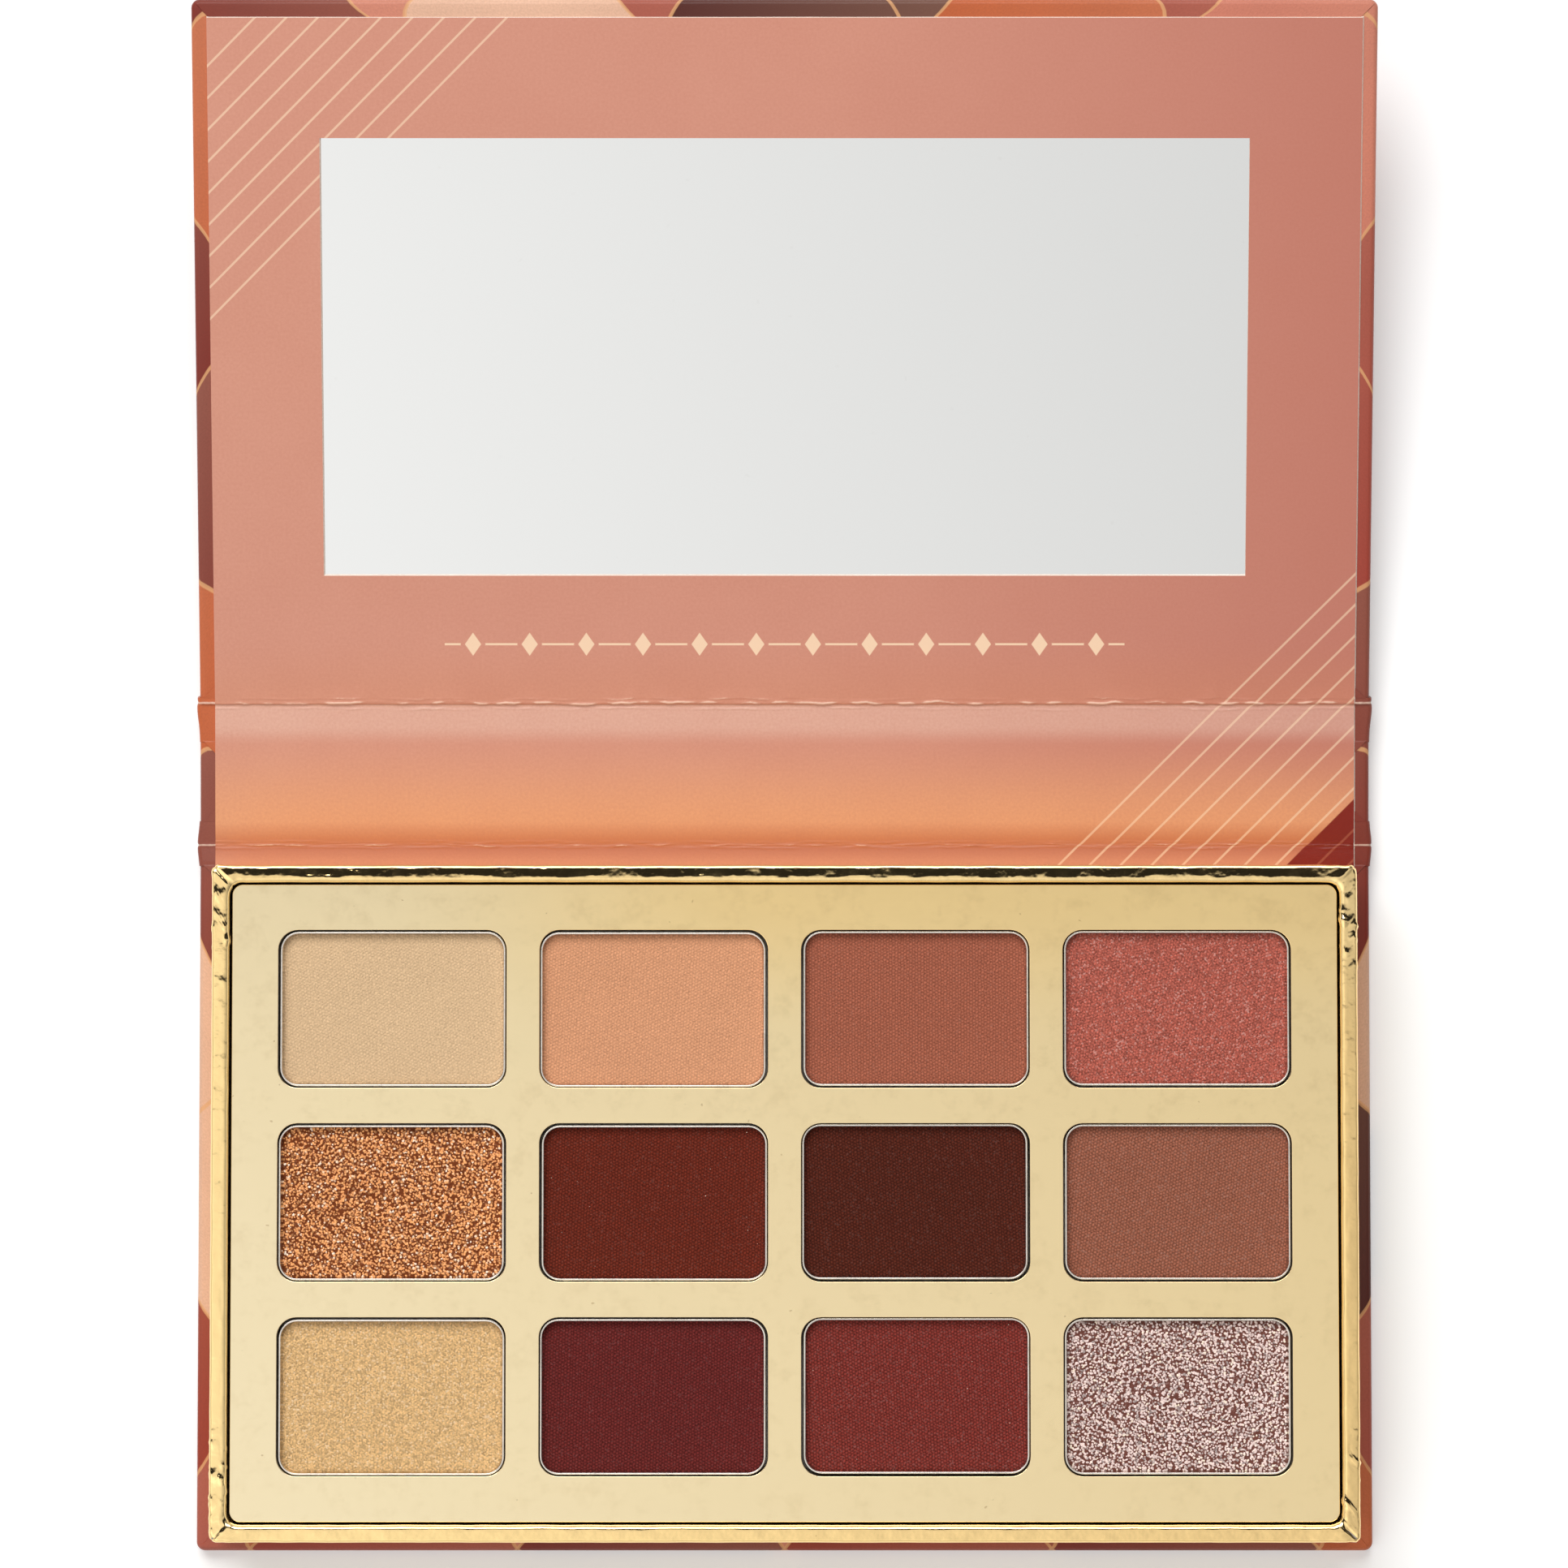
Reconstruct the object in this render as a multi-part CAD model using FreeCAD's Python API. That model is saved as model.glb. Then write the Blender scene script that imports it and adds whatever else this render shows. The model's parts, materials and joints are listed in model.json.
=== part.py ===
import FreeCAD, Part
import math
import os

# A book-style eyeshadow palette of paper over board, opened nearly flat. The base carries a foil-covered
# tray of pans, a narrow spine joins it to the lid, and the lid holds a mirror.
# Frame: origin at the centre of the base's underside, +X to the right, +Y towards the lid, +Z up.
# Driving dimensions are in millimetres and degrees.

# Paper and boards
PAPER = 0.25
BASE_BOARD = 2.0
SPINE_BOARD = 2.0
LID_BACK_BOARD = 0.8
CASE_CORNER_RADIUS = 1.0
TURN_IN = 8.0
LINER_SIDE_MARGIN = 1.8
LINER_END_MARGIN = 2.1

# Pans and powders
COLUMNS = 4
ROWS = 3
PAN_LENGTH = 25.6
PAN_DEPTH_Y = 17.5
PAN_HEIGHT = 3.2
PAN_WALL = 0.25
PAN_CORNER_RADIUS = 2.0
PAN_CLEARANCE = 0.3
PAN_RECESS = 0.3
POWDER_RECESS = 0.35
GLUE_PAD_LENGTH = 16.0
GLUE_PAD_DEPTH_Y = 10.0
GLUE_PAD_THICKNESS = 0.3

# Window card over the pans
CARD_THICKNESS = 0.8
CARD_CORNER_RADIUS = 1.2
CARD_SIDE_BORDER = 5.3
CARD_END_BORDER = 5.2
CARD_CLEARANCE = 0.25
CARD_RECESS = 1.2
COLUMN_BRIDGE = 3.8
ROW_BRIDGE = 4.05

# Tray
TRAY_HEIGHT = 11.4
TRAY_WALL = 2.0
TRAY_CORNER_RADIUS = 0.8
TRAY_FOIL = 0.15
RIM_RADIUS = 0.5
TRAY_SIDE_MARGIN = 2.6
TRAY_FRONT_MARGIN = 1.9
TRAY_BACK_MARGIN = 0.8

# Mirror
MIRROR_GLASS = 1.0
MIRROR_TAPE = 0.3
MIRROR_SIDE_MARGIN = 14.65
MIRROR_CREASE_MARGIN = 15.6
MIRROR_FAR_MARGIN = 15.85
MIRROR_OVERLAP = 2.0
MIRROR_CLEARANCE = 0.15
TAPE_INSET = 3.0

# Closure magnets
MAGNET_LENGTH = 12.0
MAGNET_WIDTH = 3.0
MAGNET_THICKNESS = 1.0
MAGNET_SPREAD = 70.0
MAGNET_CLEARANCE = 0.1

# Creases: how they close, and how far they are bent as the palette lies open
CLOSING_GAP = 0.2
SPINE_TRAY_CLEARANCE = 0.55
SPINE_EDGE_CLEARANCE = 0.1
LID_CLEARANCE = 1.25
LID_GAP = 0.8
SPINE_REST_ANGLE = 4.0
LID_REST_ANGLE = 6.0

# Plan sizes, worked out from the pans outwards
window_length = PAN_LENGTH + 2 * PAN_CLEARANCE
window_depth = PAN_DEPTH_Y + 2 * PAN_CLEARANCE
window_radius = PAN_CORNER_RADIUS + PAN_CLEARANCE
column_pitch = window_length + COLUMN_BRIDGE
row_pitch = window_depth + ROW_BRIDGE
card_length = COLUMNS * window_length + (COLUMNS - 1) * COLUMN_BRIDGE + 2 * CARD_SIDE_BORDER
card_depth = ROWS * window_depth + (ROWS - 1) * ROW_BRIDGE + 2 * CARD_END_BORDER
tray_inner_length = card_length + 2 * CARD_CLEARANCE
tray_inner_depth = card_depth + 2 * CARD_CLEARANCE
tray_length = tray_inner_length + 2 * TRAY_WALL
tray_depth = tray_inner_depth + 2 * TRAY_WALL
case_half = tray_length / 2 + TRAY_SIDE_MARGIN
base_depth = tray_depth + TRAY_FRONT_MARGIN + TRAY_BACK_MARGIN
base_front = -base_depth / 2
base_back = base_depth / 2
tray_y = (TRAY_FRONT_MARGIN - TRAY_BACK_MARGIN) / 2
liner_half = case_half - LINER_SIDE_MARGIN

# Heights of the base and the tray
base_paste = PAPER + BASE_BOARD
base_top = base_paste + PAPER
rim_top = base_top + TRAY_HEIGHT
card_top = rim_top - CARD_RECESS
card_bottom = card_top - CARD_THICKNESS
pan_top = card_top - PAN_RECESS
pan_bottom = pan_top - PAN_HEIGHT
riser_top = pan_bottom - GLUE_PAD_THICKNESS

# Heights of the spine and the lid as they lie flat
spine_paste = PAPER + SPINE_BOARD
spine_top = spine_paste + PAPER
frame_bottom = PAPER + LID_BACK_BOARD
mirror_bottom = frame_bottom + MIRROR_TAPE
lid_paste = mirror_bottom + MIRROR_GLASS
lid_top = lid_paste + PAPER

# Places of the creases and of what lies beside them, with the case laid flat
base_gap = SPINE_TRAY_CLEARANCE + spine_top - PAPER - TRAY_BACK_MARGIN
spine_base_gap = base_top - PAPER + SPINE_EDGE_CLEARANCE
spine_lid_gap = lid_top - PAPER + LID_CLEARANCE
crease_spacing = (base_top - PAPER) + TRAY_HEIGHT + CLOSING_GAP + (lid_top - PAPER)
base_crease_y = base_back + base_gap
lid_crease_y = base_crease_y + crease_spacing
spine_span = (base_crease_y + spine_base_gap, lid_crease_y - spine_lid_gap)
lid_near = lid_crease_y + LID_GAP
lid_far = lid_crease_y + base_crease_y - base_front
mirror_window_x = (-case_half + MIRROR_SIDE_MARGIN, case_half - MIRROR_SIDE_MARGIN)
mirror_window_y = (lid_crease_y + MIRROR_CREASE_MARGIN, lid_far - MIRROR_FAR_MARGIN)

# The magnets lie in the tray's front rail, and meet across the lid when it closes
magnet_y = tray_y - card_depth / 2 + CARD_END_BORDER / 2
lid_magnet_y = lid_crease_y + base_crease_y - magnet_y
X_AXIS = FreeCAD.Vector(1, 0, 0)


def grown(span, amount):
    """A span made longer by the same amount at both ends."""
    return span[0] - amount, span[1] + amount


def centred(length, middle=0.0):
    """The span of a length about its middle."""
    return middle - length / 2, middle + length / 2


def slab(x, y, z, front_radius=0.0, back_radius=0.0):
    """A plate over the spans x, y and z, with its front and back upright corners rounded."""
    corners = [
        (x[0], y[0], 1, 1, front_radius, 180),
        (x[1], y[0], -1, 1, front_radius, 270),
        (x[1], y[1], -1, -1, back_radius, 0),
        (x[0], y[1], 1, -1, back_radius, 90),
    ]
    runs = []
    for corner_x, corner_y, inward_x, inward_y, radius, start in corners:
        angles = [math.radians(start + turn) for turn in (0, 45, 90)] if radius > 0 else [0.0]
        middle_x = corner_x + inward_x * radius
        middle_y = corner_y + inward_y * radius
        runs.append(
            [
                FreeCAD.Vector(middle_x + radius * math.cos(a), middle_y + radius * math.sin(a), z[0])
                for a in angles
            ]
        )
    edges = []
    for run, following in zip(runs, runs[1:] + runs[:1]):
        if len(run) == 3:
            edges.append(Part.Arc(*run).toShape())
        edges.append(Part.LineSegment(run[-1], following[0]).toShape())
    return Part.Face(Part.Wire(edges)).extrude(FreeCAD.Vector(0, 0, z[1] - z[0]))


def pan_centres():
    """Centres of the pans, row by row from the back left."""
    centres = []
    for row in range(ROWS):
        for column in range(COLUMNS):
            x = (column - (COLUMNS - 1) / 2) * column_pitch
            y = tray_y + ((ROWS - 1) / 2 - row) * row_pitch
            centres.append((x, y))
    return centres


def pan_slabs(length, depth, z, radius):
    """One plate at each pan's place."""
    return [slab(centred(length, x), centred(depth, y), z, radius, radius) for x, y in pan_centres()]


def magnets(y, z, clearance=0.0):
    """The pair of bar magnets, or the pockets for them."""
    length = MAGNET_LENGTH + 2 * clearance
    width = MAGNET_WIDTH + 2 * clearance
    places = (-MAGNET_SPREAD / 2, MAGNET_SPREAD / 2)
    return [slab(centred(length, x), centred(width, y), z) for x in places]


def level_edges(shape, height):
    """The edges of a shape that lie level at a height, for rounding."""
    tolerance = 1e-6
    found = []
    for edge in shape.Edges:
        box = edge.BoundBox
        if abs(box.ZMin - height) < tolerance and abs(box.ZMax - height) < tolerance:
            found.append(edge)
    return found


def pose_spine(shape):
    """Turn a shape that is laid flat about the base crease to the way it lies at rest."""
    posed = shape.copy()
    posed.rotate(FreeCAD.Vector(0, base_crease_y, PAPER), X_AXIS, SPINE_REST_ANGLE)
    return posed


def pose_lid(shape):
    """Turn a shape that is laid flat about both creases to the way it lies at rest."""
    posed = shape.copy()
    posed.rotate(FreeCAD.Vector(0, lid_crease_y, PAPER), X_AXIS, LID_REST_ANGLE)
    return pose_spine(posed)


def bent_strip(half_width, crease_y, angle, reach_before, reach_after, low, high):
    """A strip of paper bent about a crease, between two heights measured from the crease line."""
    turn = math.radians(angle)

    def before(height):
        return FreeCAD.Vector(-half_width, crease_y - reach_before, PAPER + height)

    def mitre(height):
        shift = height * math.tan(turn / 2)
        return FreeCAD.Vector(-half_width, crease_y - shift, PAPER + height)

    def after(height):
        y = crease_y + reach_after * math.cos(turn) - height * math.sin(turn)
        z = PAPER + reach_after * math.sin(turn) + height * math.cos(turn)
        return FreeCAD.Vector(-half_width, y, z)

    outline = [before(low), mitre(low), after(low), after(high), mitre(high), before(high), before(low)]
    return Part.Face(Part.makePolygon(outline)).extrude(FreeCAD.Vector(2 * half_width, 0, 0))


def wrapped_board(y, z_board, front_radius, back_radius, open_front, open_back):
    """A board's solid, with the step on its upper face that takes the wrap's turned-in edges."""
    inner_y = (y[0] + (0 if open_front else PAPER), y[1] - (0 if open_back else PAPER))
    step_y = (inner_y[0] + (0 if open_front else TURN_IN), inner_y[1] - (0 if open_back else TURN_IN))
    inner_x = grown((-case_half, case_half), -PAPER)
    inner_front = max(front_radius - PAPER, 0.0)
    inner_back = max(back_radius - PAPER, 0.0)
    body = slab(inner_x, inner_y, (z_board[0], z_board[1] - PAPER), inner_front, inner_back)
    step = slab(grown(inner_x, -TURN_IN), step_y, (z_board[1] - PAPER, z_board[1]))
    return body.fuse(step).removeSplitter()


def wrap_around(board, y, height, front_radius=0.0, back_radius=0.0):
    """The outer paper: the block that it encloses, less the board inside."""
    block = slab((-case_half, case_half), y, (0, height), front_radius, back_radius)
    return block.cut(board)


def build_base(parts):
    span = (base_front, base_back)
    board = wrapped_board(span, (PAPER, base_paste), CASE_CORNER_RADIUS, 0.0, False, True)
    parts["base_board"] = board
    parts["base_wrap"] = wrap_around(board, span, base_paste, CASE_CORNER_RADIUS)
    liner_y = (base_front + LINER_END_MARGIN, base_back)
    parts["base_liner"] = slab((-liner_half, liner_half), liner_y, (base_paste, base_top))


def tray_ring(inset, top):
    """The tray's four walls as one ring, drawn in from its foil surfaces by an inset, with a rounded rim."""
    outer_x = centred(tray_length - 2 * inset)
    outer_y = centred(tray_depth - 2 * inset, tray_y)
    inner_x = centred(tray_inner_length + 2 * inset)
    inner_y = centred(tray_inner_depth + 2 * inset, tray_y)
    corner = max(TRAY_CORNER_RADIUS - inset, 0.0)
    ring = slab(outer_x, outer_y, (base_top, top), corner, corner)
    ring = ring.cut(slab(inner_x, inner_y, (base_top, top)))
    return ring.makeFillet(RIM_RADIUS - inset, level_edges(ring, top))


def build_tray(parts):
    boards = tray_ring(TRAY_FOIL, rim_top - TRAY_FOIL)
    parts["tray_foil"] = tray_ring(0.0, rim_top).cut(boards)
    height = (base_top, rim_top)
    whole_x = centred(tray_length)
    inner_x = centred(tray_inner_length + 2 * TRAY_FOIL)
    whole_y = centred(tray_depth, tray_y)
    inner_y = centred(tray_inner_depth + 2 * TRAY_FOIL, tray_y)
    parts["tray_wall_front"] = boards.common(slab(whole_x, (whole_y[0], inner_y[0]), height))
    parts["tray_wall_back"] = boards.common(slab(whole_x, (inner_y[1], whole_y[1]), height))
    parts["tray_wall_left"] = boards.common(slab((whole_x[0], inner_x[0]), inner_y, height))
    parts["tray_wall_right"] = boards.common(slab((inner_x[1], whole_x[1]), inner_y, height))


def build_insert(parts):
    card_x = centred(card_length)
    card_y = centred(card_depth, tray_y)
    radius = CARD_CORNER_RADIUS
    parts["tray_riser"] = slab(card_x, card_y, (base_top, riser_top), radius, radius)

    grid_height = (riser_top, card_bottom)
    pockets = pan_slabs(window_length, window_depth, grid_height, window_radius)
    magnet_height = (card_bottom - MAGNET_THICKNESS, card_bottom)
    magnet_pockets = magnets(magnet_y, magnet_height, MAGNET_CLEARANCE)
    grid = slab(card_x, card_y, grid_height, radius, radius)
    parts["pan_grid"] = grid.cut(pockets + magnet_pockets)
    parts["tray_magnets"] = Part.makeCompound(magnets(magnet_y, magnet_height))

    card_height = (card_bottom, card_top)
    card = slab(card_x, card_y, card_height, radius, radius)
    parts["window_card"] = card.cut(pan_slabs(window_length, window_depth, card_height, window_radius))

    pad_height = (riser_top, pan_bottom)
    parts["pan_glue_pads"] = Part.makeCompound(
        pan_slabs(GLUE_PAD_LENGTH, GLUE_PAD_DEPTH_Y, pad_height, 0.0)
    )


def build_pans(parts):
    inner_length = PAN_LENGTH - 2 * PAN_WALL
    inner_depth = PAN_DEPTH_Y - 2 * PAN_WALL
    inner_radius = PAN_CORNER_RADIUS - PAN_WALL
    floor = pan_bottom + PAN_WALL
    shells = pan_slabs(PAN_LENGTH, PAN_DEPTH_Y, (pan_bottom, pan_top), PAN_CORNER_RADIUS)
    hollows = pan_slabs(inner_length, inner_depth, (floor, pan_top), inner_radius)
    cakes = pan_slabs(inner_length, inner_depth, (floor, pan_top - POWDER_RECESS), inner_radius)
    for number, (shell, hollow, cake) in enumerate(zip(shells, hollows, cakes), start=1):
        parts[f"pan_{number:02d}"] = shell.cut(hollow)
        parts[f"powder_{number:02d}"] = cake


def build_spine(parts):
    board = wrapped_board(spine_span, (PAPER, spine_paste), 0.0, 0.0, True, True)
    liner = slab((-liner_half, liner_half), spine_span, (spine_paste, spine_top))
    parts["spine_board"] = pose_spine(board)
    parts["spine_wrap"] = pose_spine(wrap_around(board, spine_span, spine_paste))
    parts["spine_liner"] = pose_spine(liner)


def build_lid(parts):
    span = (lid_near, lid_far)
    boards = wrapped_board(span, (PAPER, lid_paste), 0.0, CASE_CORNER_RADIUS, True, False)
    back_height = (PAPER, frame_bottom)
    frame_height = (frame_bottom, lid_paste)
    whole_x = (-case_half, case_half)
    mirror_x = grown(mirror_window_x, MIRROR_OVERLAP)
    mirror_y = grown(mirror_window_y, MIRROR_OVERLAP)
    pocket = slab(grown(mirror_x, MIRROR_CLEARANCE), grown(mirror_y, MIRROR_CLEARANCE), frame_height)
    magnet_height = (frame_bottom, frame_bottom + MAGNET_THICKNESS)
    magnet_pockets = magnets(lid_magnet_y, magnet_height, MAGNET_CLEARANCE)
    frame = boards.common(slab(whole_x, span, frame_height))
    tape_x = grown(mirror_x, -TAPE_INSET)
    tape_y = grown(mirror_y, -TAPE_INSET)
    liner_y = (lid_near, lid_far - LINER_END_MARGIN)
    liner = slab((-liner_half, liner_half), liner_y, (lid_paste, lid_top))
    window = slab(mirror_window_x, mirror_window_y, (lid_paste, lid_top))
    flat = {
        "lid_back_board": boards.common(slab(whole_x, span, back_height)),
        "lid_frame_board": frame.cut([pocket] + magnet_pockets),
        "lid_wrap": wrap_around(boards, span, lid_paste, 0.0, CASE_CORNER_RADIUS),
        "lid_liner": liner.cut(window),
        "lid_magnets": Part.makeCompound(magnets(lid_magnet_y, magnet_height)),
        "mirror_tape": slab(tape_x, tape_y, (frame_bottom, mirror_bottom)),
        "mirror": slab(mirror_x, mirror_y, (mirror_bottom, lid_paste)),
    }
    for name, shape in flat.items():
        parts[name] = pose_lid(shape)


def build_creases(parts):
    for layer, half_width, low, high in (("wrap", case_half, -PAPER, 0.0), ("liner", liner_half, 0.0, PAPER)):
        parts[f"base_crease_{layer}"] = bent_strip(
            half_width, base_crease_y, SPINE_REST_ANGLE, base_gap, spine_base_gap, low, high
        )
        lid_strip = bent_strip(half_width, lid_crease_y, LID_REST_ANGLE, spine_lid_gap, LID_GAP, low, high)
        parts[f"lid_crease_{layer}"] = pose_spine(lid_strip)


def main():
    os.makedirs("parts", exist_ok=True)
    parts = {}
    build_base(parts)
    build_tray(parts)
    build_insert(parts)
    build_pans(parts)
    build_spine(parts)
    build_lid(parts)
    build_creases(parts)
    for name, shape in parts.items():
        shape.exportStep(f"parts/{name}.step")


main()
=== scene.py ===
"""The looks of a book-style eyeshadow palette of paper over board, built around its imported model."""
import json
import math
import bpy
import numpy as np
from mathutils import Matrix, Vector, noise


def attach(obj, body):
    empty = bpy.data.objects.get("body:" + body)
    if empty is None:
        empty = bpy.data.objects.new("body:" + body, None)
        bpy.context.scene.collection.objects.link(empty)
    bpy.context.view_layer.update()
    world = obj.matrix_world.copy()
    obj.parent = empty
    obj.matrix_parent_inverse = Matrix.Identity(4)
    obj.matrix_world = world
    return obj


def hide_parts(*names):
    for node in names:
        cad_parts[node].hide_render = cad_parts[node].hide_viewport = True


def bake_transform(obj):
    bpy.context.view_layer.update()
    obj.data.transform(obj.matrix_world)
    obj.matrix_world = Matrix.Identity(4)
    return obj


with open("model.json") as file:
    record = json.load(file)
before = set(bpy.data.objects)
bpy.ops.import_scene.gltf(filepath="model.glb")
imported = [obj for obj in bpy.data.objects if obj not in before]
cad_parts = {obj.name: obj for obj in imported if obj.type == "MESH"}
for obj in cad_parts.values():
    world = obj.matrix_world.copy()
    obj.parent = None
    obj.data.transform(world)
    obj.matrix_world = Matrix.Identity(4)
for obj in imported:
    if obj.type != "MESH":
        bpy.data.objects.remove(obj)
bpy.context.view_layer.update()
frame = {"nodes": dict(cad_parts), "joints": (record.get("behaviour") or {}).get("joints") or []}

# Sizes below are in millimetres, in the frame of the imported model
MM = 0.001
SHEET_UNIT = 100.0

# Paper case
CASE_CORNER = 1.0
UPPER_ROLL = 0.6
LOWER_ROLL = 0.4
TURN_IN = 8.0
SPINE_TURN_IN = 3.0
FOLD_STEP = 0.1
FOLD_DEPTH = 0.2
CASE_SPACING = 1.5
CASE_SWAY_HEIGHT = 0.03
CASE_SWAY_LENGTH = 9.0
TURN_IN_ROWS = (1.3, 2.4)

# Bands of wrap across the creases, pinched where they fold
BAND_OVERLAP = 0.5
BAND_PROUD = 0.05
BAND_STATIONS = 61
BAND_BULGE = 0.33
BAND_BULGE_WIDTH = 2.2
PINCH_WIDTH = 0.22
PINCH_DRAW = 0.12
PINCH_RISE = 0.08
PINCH_WEAR = 0.8

# Liner and its creases
MIRROR_OVERLAP = 2.0
LINER_STEP = 0.5
LINER_ROW = 1.5
CREASE_ROW = 0.07
BASE_VALLEY = 0.18
LID_VALLEY = 0.04
HAZE_FROM_SPINE = 0.5
CREASE_ROUND = 0.14
BASE_ROUNDS = (1.2, 0.5, 2.0)
SPINE_ROUND = 3.0
ROUND_STEPS = 13
CREASE_ZONE = 1.1
CREASE_SOFTNESS = 0.6
CUT_SLANT = 0.16
BASE_BEND_MARGIN = 0.2
LID_BEND_MARGIN = 0.4
LID_STEP = 0.08
LID_TURN_SHIFT = 0.3

# Wrinkled ridges along each fold: offset from the fold, height, width and wear
BASE_RIDGES = ((0.0, 0.12, 0.16, 0.55), (-0.34, 0.06, 0.13, 0.3), (0.42, 0.05, 0.12, 0.25))
LID_RIDGES = ((0.08, 0.13, 0.17, 1.0), (0.5, 0.06, 0.13, 0.45), (-0.95, 0.06, 0.13, 0.45))
BASE_RIDGE_SEED = 2.0
LID_RIDGE_SEED = 5.0

# How a ridge sways off its line, slowly and quickly, and how its crest comes and goes
SLOW_SWAY, SLOW_SWAY_LENGTH = 0.14, 4.0
QUICK_SWAY, QUICK_SWAY_LENGTH = 0.1, 1.1
CREST_MEAN, CREST_CHANGE, CREST_LENGTH = 0.65, 0.9, 2.0
CREST_LEAST, CREST_MOST = 0.05, 1.5

# Tray foil and window card
RIM_ROLL = 0.42
RIM_SLANT = 0.085
RIM_LEDGE = 0.62
RIM_GAP = 0.25
RIM_INNER_ROLL = 0.5
RIM_FLAP = 0.12
RIM_FLAP_DEPTH = 0.4
RIM_FLAP_LENGTH = 6.0
RIM_FLAP_RUN = 4.0
RIM_RAGGED = 0.03
RIM_PLEAT = 0.45
RIM_PLEAT_FROM_END = 7.0
RIM_PLEAT_REACH = 4.5
RIM_CRUSH = 0.13
RIM_CRUSH_REACH = 3.2
RIM_GROOVE = 0.1
RIM_GROOVE_WIDTH = 0.3
RIM_RISE = 0.15
RIM_FADE_FROM = 1.0
RIM_FADE_RUN = 0.5
RIM_CORNER = 0.8
WALL_ROWS = (2.5, 1.2)
FOIL_TURN = 0.6
RIM_SPACING = 0.4
FOIL = 0.15
WINDOW_CLEARANCE = 0.3
WINDOW_RADIUS = 2.3
CARD_RADIUS = 1.2
CARD_EDGE = 0.07
COLUMNS = 4
ROWS = 3

# Pans and powders
PAN_RADIUS = 2.1
PAN_WALL = 0.2
PAN_FOOT = 0.5
PAN_FLARE = 0.1
PAN_SHIFT = 0.09
PAN_SHIFT_TURNS = (2.4, 1.7)
PAN_RIM_ROUND = 0.05
PAN_NECK = 0.8
PAN_LIP = 0.35
PAN_SPACING = 1.2
CAKE_SPREAD = 0.12
CAKE_DROP = 0.6
CAKE_EDGE_DROP = 0.14
CAKE_FOOT = 0.3
CAKE_RINGS = 16
CAKE_SPACING = 0.5
CAKE_SWELL = 0.03
CAKE_SWELL_LENGTH = 4.5
CAKE_GRAIN = 0.012

# Print on the liner: two sets of thin slanted lines, a dark corner and a row of small lozenges
LINE_PITCH = 3.62
LINE_WIDTH = 0.36
LINE_EDGE = (0.35, 0.65)
UPPER_LINES_FIRST = -199.0
UPPER_LINES = 9
LOWER_LINES_FIRST = -7.6
LOWER_LINES = 8
DARK_CORNER_FROM = 19.0
DARK_LINES_FIRST = 22.6
DARK_LINES = 3
LOZENGES = 12
LOZENGE_PITCH = 6.6
LOZENGE_SIZE = (0.95, 1.35)
LOZENGE_FROM_CREASE = 7.6
RULE_WIDTH = 0.24

# Pattern of the outer print: diamonds
DIAMOND_SIZE = (31.0, 42.0)
DIAMOND_LINE = 0.45

# Powder colours as they show on screen, with their finish and the turn of the pressing cloth in degrees
POWDERS = (
    ("powder_cream", (221, 187, 147), "matte", -9),
    ("powder_peach", (217, 155, 117), "matte", 4),
    ("powder_cinnamon", (160, 92, 71), "matte", 0),
    ("powder_rose", (176, 97, 83), "shimmer", 12),
    ("powder_copper", (199, 135, 84), "glitter", 0),
    ("powder_chestnut", (101, 38, 25), "matte", 3),
    ("powder_espresso", (79, 33, 22), "matte", -4),
    ("powder_bronze", (152, 96, 76), "satin", 8),
    ("powder_champagne", (224, 186, 134), "shimmer", 0),
    ("powder_plum", (99, 36, 34), "matte", 2),
    ("powder_garnet", (123, 51, 44), "satin", -3),
    ("powder_lilac", (190, 171, 166), "frost", 0),
)
FINISHES = {
    "matte": {"metallic": 0.0, "roughness": 0.9, "pearl": 0.0, "tone": 1.01, "rich": 0.0, "weave": 1.0},
    "satin": {"metallic": 0.1, "roughness": 0.65, "pearl": 0.25, "tone": 0.99, "rich": 0.1, "weave": 1.3},
    "shimmer": {"metallic": 0.3, "roughness": 0.45, "pearl": 0.8, "tone": 1.04, "rich": 0.1, "weave": 1.0},
    "glitter": {"metallic": 0.0, "roughness": 0.6, "pearl": 0.6, "tone": 0.62, "rich": 0.9, "weave": 0.0},
    "frost": {"metallic": 0.0, "roughness": 0.6, "pearl": 0.6, "tone": 0.62, "rich": 4.0, "weave": 0.0},
}
FLAKED = ("glitter", "frost")
WEAVE_PITCH = 0.33
WEAVE_ANGLES = (0, 60, 120)
PEARL_SIZE = 0.18
GRAIN_SIZE = 0.4
GRAIN_SIZE_RANGE = (0.55, 1.1)
GRAIN_SEED = 11
TINT_SEED = 3
FLAKE_SHAPE = (1.0, 0.85, 0.42)
FLAKE_LEAN = 0.6
FLAKE_FLATNESS = 0.9
GRAINS_PER_SQUARE = 13.0
SPARK_SIZE = 0.13
SPARKS_PER_SQUARE = 0.3
SPARKLING = ("powder_garnet", "powder_chestnut")

# Camera fitted to the photograph, whose picture is square
PHOTO_SIDE = 1932
PHOTO_FOCAL = 6717.3
SENSOR = 36.0
CAMERA_PLACE = (-0.07, 15.53, 638.46)
CAMERA_TARGET = (-0.07, 49.19, 0.0)

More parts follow.
